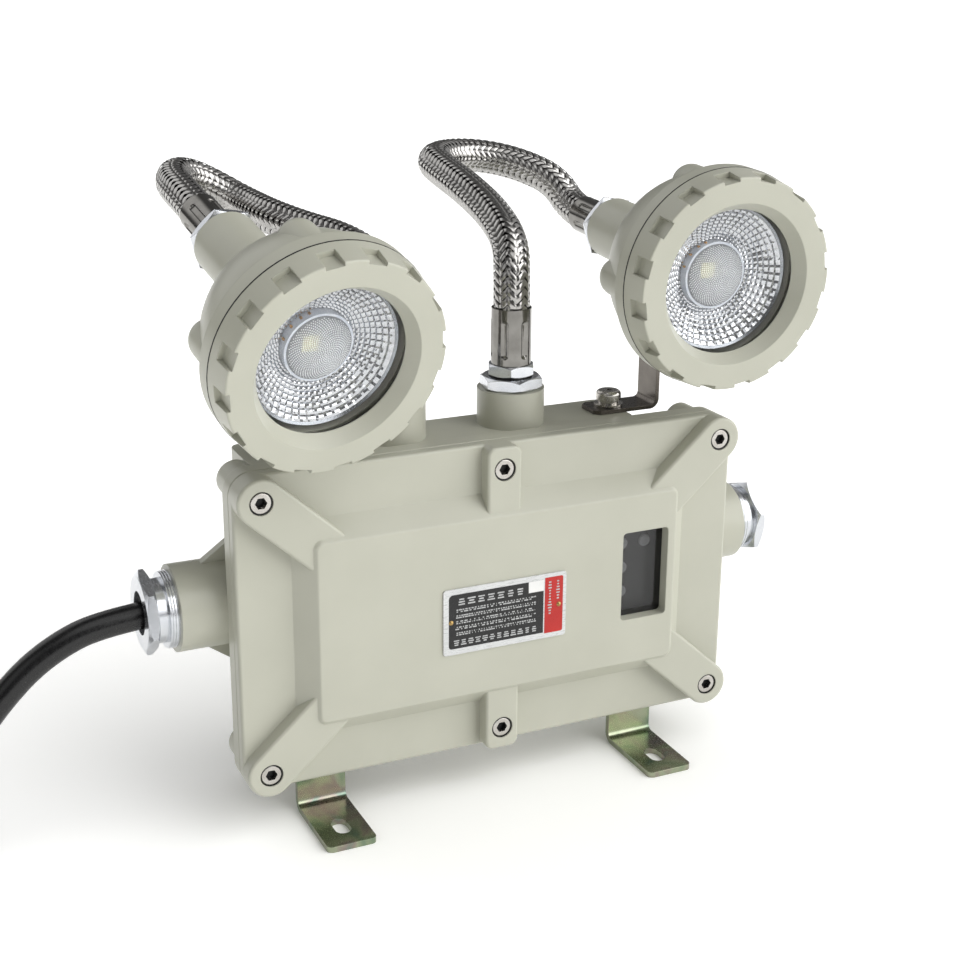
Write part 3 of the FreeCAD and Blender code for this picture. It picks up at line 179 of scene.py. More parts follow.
def grown(name, tree, values, place=Matrix()):
    """Runs the tree on an empty mesh, with the named inputs given, and returns a plain mesh object."""
    holder = new_object(name + "_source", bpy.data.meshes.new(name + "_source"))
    modifier = holder.modifiers.new("nodes", "NODES")
    modifier.node_group = tree
    for item in tree.interface.items_tree:
        if item.item_type == "SOCKET" and item.in_out == "INPUT" and item.name in values:
            modifier[item.identifier] = values[item.name]
    depsgraph = bpy.context.evaluated_depsgraph_get()
    mesh = bpy.data.meshes.new_from_object(holder.evaluated_get(depsgraph))
    bpy.data.objects.remove(holder)
    # A shape that starts in a tree brings one empty material slot
    while None in mesh.materials[:]:
        mesh.materials.pop(index=mesh.materials[:].index(None))
    mesh.transform(place)
    return new_object(name, mesh)


print("tree helpers ready")

# %% [markdown]
# ## Supply cable
# The real cable is a 13 mm rubber-sheathed flex, 0.92 m long. It leaves the left gland, sags to the floor
# and ends in one and a half turns, put away beside the case. A NURBS curve with a round bevel is the
# simplest thing that keeps its thickness and bends smoothly, and its points are the CAD route's own.

# %% Cable points: the route, then the coil
cable_points = [
    (-0.1240, 0.0046, 0.1106), (-0.1810, 0.0046, 0.1106), (-0.2130, 0.0049, 0.0985),
    (-0.2380, 0.0052, 0.0750), (-0.2570, 0.0055, 0.0470), (-0.2790, 0.0056, 0.0220),
    (-0.3090, 0.0052, 0.0076),
]
cable_r = 0.0065
gap_above_floor = 0.0002
coil_middle = Vector((-0.352, 0.0746, 0.0))
coil_point_r = 0.0722
coil_steps = 18
# The second turn lies on the first, so the cable climbs by its own thickness between these two steps
climb_from, climb_to = 8, 12
for step in range(coil_steps + 1):
    turn = math.radians(-90 - 30 * step)
    lift = min(max((step - climb_from) / (climb_to - climb_from), 0), 1)
    height = cable_r + gap_above_floor + 2 * cable_r * lift
    cable_points.append((coil_middle.x + coil_point_r * math.cos(turn),
                         coil_middle.y + coil_point_r * math.sin(turn), height))
cable_points += [(-0.3360, 0.1453, 0.0197), (-0.3230, 0.1453, 0.0197)]
print("cable control points:", len(cable_points))

# %% A round rod along a smooth line
def smooth_line(name, points, radius=0.0, round_steps=4, steps=12):
    """A round rod along one NURBS spline that the points steer, or a bare line if the radius is 0."""
    curve = bpy.data.curves.new(name, "CURVE")
    curve.dimensions = "3D"
    curve.resolution_u = steps
    curve.bevel_depth = radius
    curve.bevel_resolution = round_steps
    curve.use_fill_caps = radius > 0
    spline = curve.splines.new("NURBS")
    spline.points.add(len(points) - 1)
    for point, place in zip(spline.points, points):
        point.co = (*place, 1.0)
    spline.order_u = 3
    spline.use_endpoint_u = True
    return new_object(name, curve)


cable = smooth_line("supply_cable", cable_points, cable_r, round_steps=6)
print("cable is", round(2 * cable_r / MM, 1), "mm across")

# %% [markdown]
# ## Finishes
# Most finishes on this lamp are one of three kinds: paint, bare or plated metal, and moulded plastic or
# rubber. They differ in a few numbers: how the colour drifts over centimetres, and how the surface
# grain, in real millimetres, tips the light. One function takes those numbers. It also rounds what the
# eye sees of a sharp CAD edge, because no cast or pressed edge is sharp.

# %% One function for painted, metal and moulded surfaces
def finish(name, colour, second=None, patch_mm=25.0, metallic=0.0, roughness=0.4, rough_spread=0.06,
           grain_mm=1.0, grain_depth_mm=0.02, stretch=(1, 1, 1), edge_mm=0.0, **sockets):
    """A material: colour drifts to a second one in patches, and fine grain moves roughness and bump."""
    material = bpy.data.materials.new(name)
    material.use_nodes = True
    tree = material.node_tree
    shader = tree.nodes["Principled BSDF"]
    shader.inputs["Metallic"].default_value = metallic
    for socket, value in sockets.items():
        shader.inputs[socket.replace("_", " ")].default_value = value
    place = add(tree, "ShaderNodeTexCoord").outputs["Object"]
    stretched = add(tree, "ShaderNodeMapping", {"Vector": place, "Scale": stretch})
    patches = add(tree, "ShaderNodeTexNoise", {
        "Vector": place, "Scale": 1 / (patch_mm * MM), "Detail": 3.0})
    grain = add(tree, "ShaderNodeTexNoise", {
        "Vector": stretched, "Scale": 1 / (grain_mm * MM), "Detail": 2.0})
    drift = add(tree, "ShaderNodeMapRange", {"Value": patches, "From Min": 0.35, "From Max": 0.65})
    mixed = add(tree, "ShaderNodeMix", {0: drift, 6: linear(colour), 7: linear(second or colour)},
                data_type="RGBA")
    tree.links.new(mixed.outputs[2], shader.inputs["Base Color"])
    rough = add(tree, "ShaderNodeMapRange", {
        "Value": grain, "From Min": 0.3, "From Max": 0.7,
        "To Min": max(roughness - rough_spread, 0.0), "To Max": roughness + rough_spread})
    tree.links.new(rough.outputs[0], shader.inputs["Roughness"])
    bump = add(tree, "ShaderNodeBump", {
        "Height": grain, "Distance": grain_depth_mm * MM, "Strength": 1.0})
    if edge_mm:
        rounded = add(tree, "ShaderNodeBevel", {"Radius": edge_mm * MM}, samples=4)
        tree.links.new(rounded.outputs[0], bump.inputs["Normal"])
    tree.links.new(bump.outputs[0], shader.inputs["Normal"])
    return material


def dress(material, *names):
    """Puts one material on CAD nodes."""
    for name in names:
        nodes[name].data.materials.clear()
        nodes[name].data.materials.append(material)


def both(*names):
    """The names of the left and the right one of each."""
    return [name + "_" + side for name in names for side in SIDES]


print("one of each:", both("bracket", "front_foot"))

# %% [markdown]
# ### Paint and castings
# The case, lid and lamp housings are sand-cast aluminium with a pebble-grey powder coat. Powder melts
# into a semi-gloss film with a faint orange peel about a millimetre across, and it rounds every edge.

# %% Powder coat
powder_coat = finish(
    "powder_coat_on_cast_aluminium", "#B1B1A3", "#B5B5A7", patch_mm=40, roughness=0.33,
    rough_spread=0.02, grain_mm=1.1, grain_depth_mm=0.007, edge_mm=0.7)
dress(powder_coat, "lid", "case", *both("head_housing", "head_bezel"))
print("painted:", powder_coat.users, "meshes")

# %% [markdown]
# ### Metals
# Bare stainless steel is slightly warm, zinc plate slightly blue, and yellow-passivated zinc shifts from
# olive to pink as its film changes in thickness. Each keeps a metal's own reflection, so only the base
# colour, the roughness and the direction of the grain differ.

# %% Steel and zinc
stainless = finish("turned_stainless_steel", "#B5B1AB", "#C4C1BC", patch_mm=6, metallic=1.0,
                   roughness=0.24, grain_mm=0.5, grain_depth_mm=0.006, edge_mm=0.25)
strip_steel = finish("bent_stainless_strip", "#5F5A55", "#706B65", patch_mm=14, metallic=1.0,
                     roughness=0.30, grain_mm=0.35, grain_depth_mm=0.006, stretch=(0.1, 1, 1),
                     edge_mm=0.4)
bright_zinc = finish("bright_zinc_plate", "#CDD0D5", "#D8DADE", patch_mm=9, metallic=1.0,
                     roughness=0.22, grain_mm=0.5, grain_depth_mm=0.005, edge_mm=0.35)
sleeve_steel = finish("pressed_polished_sleeve", "#7B7975", "#8B8985", patch_mm=8, metallic=1.0,
                      roughness=0.13, grain_mm=0.8, grain_depth_mm=0.004, edge_mm=0.3)
dress(stainless, "lid_screws", "retainer_screws", "board_screws", "pan_screws", "pan_washers",
      *both("tilt_screw"))
dress(strip_steel, *both("bracket"))
dress(bright_zinc, "gland_bodies", "gland_nuts", "hose_adapters", "hose_swivels", *both("neck_nut"))
dress(sleeve_steel, "roof_ferrules", *both("head_ferrule"))
print("metals:", stainless.name, strip_steel.name, bright_zinc.name, sleeve_steel.name)

# %% Yellow-passivated zinc: a thin film whose colour changes over centimetres
yellow_zinc = finish("yellow_passivated_zinc", "#A5A17F", "#A5A17F", patch_mm=12, metallic=1.0,
                     roughness=0.24, grain_mm=0.4, grain_depth_mm=0.005, edge_mm=0.35)
tree = yellow_zinc.node_tree
film_place = add(tree, "ShaderNodeTexCoord").outputs["Object"]
film_patches_per_metre = 55.0  # a patch is 18 mm across
film = add(tree, "ShaderNodeTexNoise", {
    "Vector": film_place, "Scale": film_patches_per_metre, "Detail": 2.0, "Distortion": 0.8})
ramp = add(tree, "ShaderNodeValToRGB", (film,))
film_colours = ((0.30, "#6F8471"), (0.42, "#8F9A80"), (0.52, "#9DA28B"), (0.62, "#948A82"),
                (0.74, "#748C7E"))
while len(ramp.color_ramp.elements) < len(film_colours):
    ramp.color_ramp.elements.new(0.5)
for element, (position, colour) in zip(ramp.color_ramp.elements, film_colours):
    element.position = position
    element.color = linear(colour)
tree.links.new(ramp.outputs[0], tree.nodes["Principled BSDF"].inputs["Base Color"])
dress(yellow_zinc, "foot_screws", *both("front_foot", "rear_foot"))
print("film colours:", len(film_colours))

# %% [markdown]
# ### Rubber, plastic and what is inside
# The seals and the cable are black rubber. The small plastic parts are moulded, and the pieces inside
# the case are only seen when the lid is off, so they get the plain finish of the real ones.

# %% Rubber and plastics
rubber = finish("moulded_black_rubber", "#0E0E0E", "#151515", patch_mm=8, roughness=0.6,
                grain_mm=0.6, grain_depth_mm=0.02)
cable_rubber = finish("cable_sheath_rubber", "#0B0B0C", "#111112", patch_mm=30, roughness=0.28,
                      grain_mm=1.5, grain_depth_mm=0.006)
black_plastic = finish("moulded_black_plastic", "#141416", "#1B1B1D", patch_mm=10, roughness=0.35,
                       grain_mm=0.5, grain_depth_mm=0.01)
indicator_plastic = finish("smoke_indicator_lens", "#DADDE0", "#E6E9EB", patch_mm=3, roughness=0.25,
                           grain_mm=0.4, grain_depth_mm=0.01)
dress(rubber, "lid_seal", "gland_seal", "gland_plug", "fitting_washers", *both("head_gasket"))
dress(black_plastic, "indicator_board", "terminal_block", "window_retainer")
dress(indicator_plastic, "indicator_lights")
wrap = finish("battery_shrink_wrap", "#1D4580", "#20508F", patch_mm=30, roughness=0.3)
solder_mask = finish("green_solder_mask", "#1C5A34", "#216B3D", patch_mm=12, roughness=0.35)
coil_tape = finish("transformer_tape", "#D9B64A", "#CDA93F", patch_mm=10, roughness=0.4)
strap_zinc = finish("zinc_plated_strap", "#B9B9B4", "#C6C6C2", patch_mm=8, metallic=1.0, roughness=0.3)
dress(wrap, "battery")
dress(strap_zinc, "battery_strap")
dress(solder_mask, "circuit_board")
dress(coil_tape, "transformer")
print("rubber and plastics done")

# %% [markdown]
# ### Glass
# The lamp glass is a clear pane and the window a smoke-grey one. A pane lets most light through and
# reflects more of it at a glancing angle, so each is a clear shader with a mirror laid over it by the
# angle it is seen at. A solid glass shader would be truer for thick glass but leaves what is behind it
# dark.

# %% Clear and smoke panes
def pane(name, tint, smoke):
    """Glass that shows what is behind it; smoke is the share of light that its tint stops."""
    material = bpy.data.materials.new(name)
    material.use_nodes = True
    tree = material.node_tree
    body = tree.nodes["Principled BSDF"]
    body.inputs["Base Color"].default_value = linear(tint)
    body.inputs["Roughness"].default_value = 0.04
    clear = add(tree, "ShaderNodeBsdfTransparent")
    through = add(tree, "ShaderNodeMixShader", (smoke, clear, body))
    mirror = add(tree, "ShaderNodeBsdfGlossy", {"Roughness": 0.03})
    glancing = add(tree, "ShaderNodeLayerWeight", {"Blend": 0.5}).outputs["Facing"]
    steep = add(tree, MATH, (glancing, 5.0), "POWER")
    # Glass sends back 4 % of the light seen straight on, and all of it at a glancing angle
    cover = add(tree, MATH, (steep, 0.96, 0.04), "MULTIPLY_ADD")
    mix = add(tree, "ShaderNodeMixShader", (cover, through, mirror))
    tree.links.new(mix.outputs[0], tree.nodes["Material Output"].inputs["Surface"])
    return material


lamp_glass = pane("clear_tempered_glass", "#F4F7F7", 0.0)
window_glass = pane("smoke_tempered_glass", "#0B0B0C", 0.38)
dress(lamp_glass, *both("head_glass"))
dress(window_glass, "window_glass")
print("panes:", lamp_glass.name, window_glass.name)

# %% [markdown]
# ## Where a head is
# Each head is drawn once, looking along -Y with its front face at the origin, and turned into place by
# the same two angles as in the CAD source: the bracket's pan and the head's nose-down tilt.

# %% Head placement from the record's tilt joint
rest_angles = {"left": (7.0, 17.5), "right": (0.0, 4.0)}
pivot_behind_face, pivot_below_axis = 0.066, 0.046
joints = {joint["name"]: joint for joint in frame["joints"]}


def head_place(side):
    """Where a head drawn at the origin goes at rest."""
    pan, tilt = (math.radians(a) for a in rest_angles[side])
    turn = Matrix.Rotation(pan, 4, "Z") @ Matrix.Rotation(tilt, 4, "X")
    pivot = Matrix.Translation(joints[side + "_tilt"]["pos_m"])
    return pivot @ turn @ Matrix.Translation((0, -pivot_behind_face, pivot_below_axis))


for side in SIDES:
    print(side, "face centre", [round(v, 4) for v in head_place(side).to_translation()])

# %% Rings turned about a head's or a screw's axis
def turned_rings(name, profiles, places, material, body, steps=72):
    """Closed rings in one mesh: each profile of (radius, depth) corners, at each place."""
    vertices, faces = [], []
    for place in places:
        for profile in profiles:
            base, corners = len(vertices), len(profile)
            for radius, depth in profile:
                for turn in (2 * math.pi * k / steps for k in range(steps)):
                    point = (radius * math.cos(turn), depth, radius * math.sin(turn))
                    vertices.append(place @ Vector(point))
            for i in range(corners):
                for k in range(steps):
                    here, there = base + i * steps, base + (i + 1) % corners * steps
                    faces.append((here + k, here + (k + 1) % steps, there + (k + 1) % steps, there + k))
    piece = mesh_object(name, vertices, faces, material)
    mesh = bmesh.new()
    mesh.from_mesh(piece.data)
    bmesh.ops.recalc_face_normals(mesh, faces=mesh.faces)
    mesh.to_mesh(piece.data)
    mesh.free()
    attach(piece, body)
    return piece


def square_ring(inner, outer, front, rear):
    """The four corners of a plain ring's section, from sizes in millimetres."""
    return [(r * MM, y * MM) for r, y in ((inner, front), (outer, front), (outer, rear), (inner, rear))]


for side in SIDES:
    seam = turned_rings("bezel_seam_" + side, [square_ring(52.4, 53.1, 14.6, 15.3)], [head_place(side)],
                        rubber, side + "_head")
print("seam ring faces:", len(seam.data.polygons))

# %% [markdown]
# ## Reflector
# The real reflector is moulded plastic with a bright metal film. Its bowl is divided into nine rows of
# small facets. Each is a little cushion of nine flat planes, and each plane throws its own small picture
# of the room, which is what gives the sparkle. The bowl follows a rule, so a Geometry Nodes tree makes
# it: a flat grid is rolled into the bowl, and each cell swells and leans a little. A plain lip joins the
# facets to the rim.

# %% A flat grid, and where each of its points is in its cell
bowl, given, result = new_tree("faceted_bowl", {
    "Rows": 9, "Facets": 52, "Cuts": 3, "Rim radius": 0.0335, "Throat radius": 0.0168, "Front": 0.0140,
    "Depth": 0.0112, "Growth": 1.25, "Swell": 0.00110, "Lean": 0.00006, "Seed": 5,
    "Material": "NodeSocketMaterial"})
size = given.outputs
columns = add(bowl, MATH, (size["Facets"], size["Cuts"], 1.0), "MULTIPLY_ADD")
rows = add(bowl, MATH, (size["Rows"], size["Cuts"], 1.0), "MULTIPLY_ADD")
sheet = add(bowl, "GeometryNodeMeshGrid", {
    "Size X": 1.0, "Size Y": 1.0, "Vertices X": columns, "Vertices Y": rows})
spot = add(bowl, "ShaderNodeSeparateXYZ", (add(bowl, "GeometryNodeInputPosition"),)).outputs
round_share = add(bowl, MATH, (spot["X"], 0.5), "ADD")
out_share = add(bowl, MATH, (spot["Y"], 0.5), "ADD")
# The first and last columns of points meet, so a nudge makes them count as one cell
nudged = add(bowl, MATH, (round_share, 0.00001), "ADD")
wrapped = add(bowl, MATH, (nudged,), "FRACT")
cells, offsets, squares = [], [], []
for share, count in ((wrapped, size["Facets"]), (out_share, size["Rows"])):
    counted = add(bowl, MATH, (share, count), "MULTIPLY")
    cells.append(add(bowl, MATH, (counted,), "FLOOR"))
    part = add(bowl, MATH, (counted,), "FRACT")
    offset = add(bowl, MATH, (part, 2.0, -1.0), "MULTIPLY_ADD")
    offsets.append(offset)
    squares.append(add(bowl, MATH, (offset, offset), "MULTIPLY"))
cell_number = add(bowl, MATH, (cells[1], 1000.0, cells[0]), "MULTIPLY_ADD")
print("offsets in a cell run from -1 to 1, in", len(offsets), "directions")

# %% Each cell swells like a cushion and leans a little
both_squares = add(bowl, MATH, squares, "ADD")
hump = add(bowl, MATH, (both_squares, -0.5, 1.0), "MULTIPLY_ADD")
# The outer rows are cut a third flatter, which gives the larger bright squares near the rim
flatness = add(bowl, MATH, (out_share, -0.35, 1.0), "MULTIPLY_ADD")
hump = add(bowl, MATH, (hump, flatness), "MULTIPLY")
hump = add(bowl, MATH, (hump, size["Swell"]), "MULTIPLY")
for shift, offset in enumerate(offsets):
    seed = add(bowl, MATH, (size["Seed"], shift), "ADD")
    chance = add(bowl, "FunctionNodeRandomValue", {2: -1.0, 3: 1.0, "ID": cell_number, "Seed": seed},
                 data_type="FLOAT").outputs[1]
    lean = add(bowl, MATH, (chance, size["Lean"]), "MULTIPLY")
    hump = add(bowl, MATH, (lean, offset, hump), "MULTIPLY_ADD")
print("bowl tree so far:", len(bowl.nodes), "nodes")

# %% The grid is rolled into a bowl whose depth goes with the square of its radius
spread = add(bowl, MATH, (size["Rim radius"], size["Throat radius"]), "SUBTRACT")
grown_share = add(bowl, MATH, (out_share, size["Growth"]), "POWER")
radius = add(bowl, MATH, (grown_share, spread, size["Throat radius"]), "MULTIPLY_ADD")
square_here, throat_square, rim_square = [
    add(bowl, MATH, (r, r), "MULTIPLY")
    for r in (radius, size["Throat radius"], size["Rim radius"])]
climbed = add(bowl, MATH, (square_here, throat_square), "SUBTRACT")
whole_climb = add(bowl, MATH, (rim_square, throat_square), "SUBTRACT")
rise = add(bowl, MATH, (climbed, whole_climb), "DIVIDE")
left_to_rise = add(bowl, MATH, (1.0, rise), "SUBTRACT")
deep = add(bowl, MATH, (left_to_rise, size["Depth"], size["Front"]), "MULTIPLY_ADD")
# A hump stands out at 45 degrees, so it moves a point by 0.7 of its height forwards and inwards
slant = -0.7
deep = add(bowl, MATH, (hump, slant, deep), "MULTIPLY_ADD")
radius = add(bowl, MATH, (hump, slant, radius), "MULTIPLY_ADD")
angle = add(bowl, MATH, (round_share, 2 * math.pi), "MULTIPLY")
cosine = add(bowl, MATH, (angle,), "COSINE")
sine = add(bowl, MATH, (angle,), "SINE")
target = add(bowl, "ShaderNodeCombineXYZ", {
    "X": add(bowl, MATH, (radius, cosine), "MULTIPLY"), "Y": deep,
    "Z": add(bowl, MATH, (radius, sine), "MULTIPLY")})
rolled = add(bowl, "GeometryNodeSetPosition", {"Geometry": sheet, "Position": target})
closed = add(bowl, "GeometryNodeMergeByDistance", {"Geometry": rolled, "Distance": 0.00001})
flat = add(bowl, "GeometryNodeSetShadeSmooth", {"Geometry": closed, "Shade Smooth": False})
finish_tree(bowl, flat, size["Material"], result)
print("bowl tree:", len(bowl.nodes), "nodes")

# %% Reflectors in both heads
mirror_film = finish("vacuum_metallised_reflector", "#C3C5C9", "#CDCFD2", patch_mm=6, metallic=1.0,
                     roughness=0.05, rough_spread=0.02, grain_mm=0.8, grain_depth_mm=0.002)
lip_film = finish("plain_metallised_lip", "#8D9196", "#9A9EA2", patch_mm=6, metallic=1.0,
                  roughness=0.22, grain_mm=0.8, grain_depth_mm=0.002)
lip_section = [(r * MM, y * MM) for r, y in ((33.5, 14.0), (34.7, 13.2), (35.0, 13.4), (34.0, 14.8))]
for side in SIDES:
    reflector = grown("reflector_" + side + "_facets", bowl, {"Material": mirror_film}, head_place(side))
    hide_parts("reflector_" + side)
    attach(reflector, side + "_head")
    turned_rings("reflector_lip_" + side, [lip_section], [head_place(side)], lip_film,
                 side + "_head", steps=128)
    print(reflector.name, len(reflector.data.polygons), "faces")

# %% [markdown]
# ## Lens and LED
# In the throat of the bowl stands a moulded lens: a short collar with a frosted, dotted dome on it, over
# one square LED. It is turned from a section, in place of the CAD solid. The dots are set out like seeds
# in a sunflower, which covers a disc evenly, and a small tree places them.
# The dome throws the LED's yellow square up and to one side, so it sits where the lens shows it.

# %% Geometry Nodes tree for the dots on the dome
dots, given, result = new_tree("dome_dots", {
    "Count": 820, "Dome radius": 0.0147, "Dome rise": 0.0044, "Tip": 0.0147, "Dot radius": 0.00040,
    "Material": "NodeSocketMaterial"})
size = given.outputs
seeds = add(dots, "GeometryNodeMeshLine", {"Count": size["Count"]})
index = add(dots, "GeometryNodeInputIndex")
counted = add(dots, MATH, (index, 0.5), "ADD")
share = add(dots, MATH, (counted, size["Count"]), "DIVIDE")
# Each seed of a sunflower stands 137.5 degrees further round than the one before
golden_turn = add(dots, MATH, (index, 2.39996), "MULTIPLY")
root_share = add(dots, MATH, (share,), "SQRT")
out = add(dots, MATH, (root_share, size["Dome radius"]), "MULTIPLY")
drop = add(dots, MATH, (share, size["Dome rise"], size["Tip"]), "MULTIPLY_ADD")
cosine = add(dots, MATH, (golden_turn,), "COSINE")
sine = add(dots, MATH, (golden_turn,), "SINE")
seed_place = add(dots, "ShaderNodeCombineXYZ", {
    "X": add(dots, MATH, (out, cosine), "MULTIPLY"), "Y": drop,
    "Z": add(dots, MATH, (out, sine), "MULTIPLY")})
placed = add(dots, "GeometryNodeSetPosition", {"Geometry": seeds, "Position": seed_place})
dot = add(dots, "GeometryNodeMeshIcoSphere", {"Radius": size["Dot radius"], "Subdivisions": 1})
instances = add(dots, "GeometryNodeInstanceOnPoints", {"Points": placed, "Instance": dot})
finish_tree(dots, instances, size["Material"], result)
print("dot tree:", len(dots.nodes), "nodes")

# %% Finishes of the lens and the LED board
lens_clear = finish("frosted_moulded_lens", "#BEC2C9", "#CACED4", patch_mm=5, roughness=0.28,
                    grain_mm=0.5, grain_depth_mm=0.02, Alpha=0.45)
collar_white = finish("moulded_lens_collar", "#D5DCE8", "#E6EBF3", patch_mm=4, roughness=0.25,
                      grain_mm=0.5, grain_depth_mm=0.01)
pad_gold = finish("gilt_board_pad", "#C98F45", "#D9A55C", patch_mm=1, metallic=1.0, roughness=0.25,
                  grain_mm=0.3, grain_depth_mm=0.004)
dot_clear = finish("moulded_lens_dots", "#F2F4F6", "#E4E7EA", patch_mm=3, roughness=0.18,
                   grain_mm=0.4, grain_depth_mm=0.01)
board_white = finish("led_board_white_mask", "#D8DADC", "#E6E7E8", patch_mm=6, roughness=0.35)
# The LED is not lit, so the phosphor's faint emission is a painted glow
phosphor = finish("led_phosphor_painted_glow", "#E9E59A", "#EFEBAA", patch_mm=2, roughness=0.5,
                  Emission_Color=linear("#EFE9A0"), Emission_Strength=0.5)
dress(board_white, *both("led_board"))
print("LED boards dressed:", board_white.users)

# %% Small square blocks: the LED and the board's pads
def blocks(name, boxes, place, material, body):
    """Square-edged blocks in one mesh; each box is (middle x, depth, middle z, wide, deep, high)."""
    vertices, faces = [], []
    for x, y, z, wide, deep, high in boxes:
        base = len(vertices)
        vertices += [place @ Vector((x + i * wide / 2, y + j * deep / 2, z + k * high / 2))
                     for j in (-1, 1) for i, k in ((-1, -1), (1, -1), (1, 1), (-1, 1))]
        faces += [tuple(base + i for i in face) for face in
                  ((0, 1, 2, 3), (7, 6, 5, 4), (0, 4, 5, 1), (1, 5, 6, 2), (2, 6, 7, 3), (3, 7, 4, 0))]
    piece = mesh_object(name, vertices, faces, material)
    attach(piece, body)
    return piece


led_size, led_depth, led_x, led_z = 0.0074, 0.0190, -0.0048, 0.0030
led_box = (led_x, led_depth, led_z, led_size, 0.0006, led_size)
pad_r, pad_depth, pad_size = 0.0166, 0.0226, 0.0009
pad_boxes = [(pad_r * math.cos(turn), pad_depth, pad_r * math.sin(turn), pad_size, 0.0016, pad_size)
             for turn in map(math.radians, (108, 122, 141, 163))]
print("LED square", led_size / MM, "mm wide, pads on a board:", len(pad_boxes))

# %% Sections of the lens and its collar, in millimetres
# The lens's section runs from the axis over the dome to its edge and straight back
dome_rise, dome_r, dome_tip, lens_rear = 4.4, 15.2, 14.7, 24.5
near_axis = 0.01  # the section stops just short of the axis, as a ring has to
arc_steps = 8
dome_arc = [(max(dome_r * k / arc_steps, near_axis), dome_tip + dome_rise * (k / arc_steps) ** 2)
            for k in range(arc_steps + 1)]
lens_section = [(r * MM, y * MM) for r, y in [(near_axis, lens_rear), *dome_arc, (dome_r, lens_rear)]]
collar_section = square_ring(15.3, 16.4, 19.7, 25.1)
print("corners of the lens section:", len(lens_section))

# %% Lens, dots, LED and pads in both heads
for side in SIDES:
    place, body = head_place(side), side + "_head"
    piece = grown("lens_dots_" + side, dots, {"Material": dot_clear}, place)
    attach(piece, body)
    blocks("led_chip_" + side, [led_box], place, phosphor, body)
    lens = turned_rings("lens_body_" + side, [lens_section], [place], lens_clear, body,
                        steps=96)
    lens.data.polygons.foreach_set("use_smooth", [True] * len(lens.data.polygons))
    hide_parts("lens_" + side)
    turned_rings("lens_collar_" + side, [collar_section], [place], collar_white, body,
                 steps=96)
    blocks("board_pads_" + side, pad_boxes, place, pad_gold, body)
    print(piece.name, len(piece.data.polygons), "faces")

# %% [markdown]
# ## Dark rings and thread rings
# Round each lid screw's head runs a narrow gap; a black ring laid in it is painted shade, and a dark
# sleeve and disc inside its socket are painted shade too. Each gland's round collar carries three fine
# ridges, the last turns of its thread. All are plain rings, so they are turned like those of the lamp
# heads.

# %% Dark rings and sockets of the lid's screws
screws_low, screws_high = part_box("lid_screws")
screw_r = 0.005
screw_columns = (screws_low.x + screw_r, (screws_low.x + screws_high.x) / 2, screws_high.x - screw_r)
screw_rows = (screws_low.z + screw_r, screws_high.z - screw_r)
screw_places = [Matrix.Translation((x, screws_low.y, z)) for x in screw_columns for z in screw_rows]
# Black rings of painted shade in the gaps round the screw heads
turned_rings("screw_grease_rings", [square_ring(5.02, 5.58, 0.0, 0.8)], screw_places, rubber,
             "root", steps=40)
# A dark sleeve and disc of painted shade inside each screw's socket
socket_shade = [square_ring(2.30, 2.42, 0.9, 3.1), square_ring(0.02, 2.42, 2.9, 3.1)]
turned_rings("screw_socket_grease", socket_shade, screw_places, rubber, "root", steps=24)
print("screws at", [[round(v, 4) for v in place.to_translation()] for place in screw_places][:2])

# %% Thread rings of the two glands
gland_low, gland_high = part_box("gland_bodies")
gland_middle = (0, (gland_low.y + gland_high.y) / 2, (gland_low.z + gland_high.z) / 2)
gland_ends = [Matrix.Translation(gland_middle) @ Matrix.Rotation(math.radians(turn), 4, "Z")
              for turn in (90, -90)]
ridges = [[(18.1 * MM, depth * MM), (18.5 * MM, (depth + 0.35) * MM), (18.1 * MM, (depth + 0.7) * MM)]
          for depth in (153.6, 154.9, 156.2)]
turned_rings("gland_thread_rings", ridges, gland_ends, bright_zinc, "root", steps=96)
print("ridges on each gland:", len(ridges))

# %% [markdown]
# ## Nameplate print
# The plate is anodised aluminium, screen-printed with a black field, a small white square and a red
# strip. The print is a real layer of ink, so each field is a thin sheet on the plate. Rows of plain
# bars stand where a plate has its lines of data; a tree scatters bars of mixed widths along a row.

# %% Where the plate is, and one printed field
plate_low, plate_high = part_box("nameplate")
plate_front = plate_low.y
plate_x, plate_z = (plate_low.x + plate_high.x) / 2, (plate_low.z + plate_high.z) / 2
ink = 0.00006  # one layer, in metres


def ink_field(name, x0, x1, z0, z1, corners, material, layer=1):
    """A thin printed panel; corners are the four corner radii, from the lower left, anticlockwise."""
    outline = []
    for (x, z, start), radius in zip(((x0, z0, 180), (x1, z0, 270), (x1, z1, 0), (x0, z1, 90)), corners):
        round_x = plate_x + x + (radius if x == x0 else -radius)
        round_z = plate_z + z + (radius if z == z0 else -radius)
        for k in range(7 if radius else 1):
            turn = math.radians(start + 15 * k)
            outline.append((round_x + radius * math.cos(turn), round_z + radius * math.sin(turn)))
    n = len(outline)
    vertices = [(x, plate_front - ink * depth, z) for depth in (layer, layer - 1) for x, z in outline]
    faces = [tuple(range(n)), tuple(range(2 * n - 1, n - 1, -1))]
    faces += [(k, k + n, (k + 1) % n + n, (k + 1) % n) for k in range(n)]
    field = mesh_object(name, vertices, faces, material)
    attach(field, "root")
    return field


print("plate front at y", round(plate_front, 5))

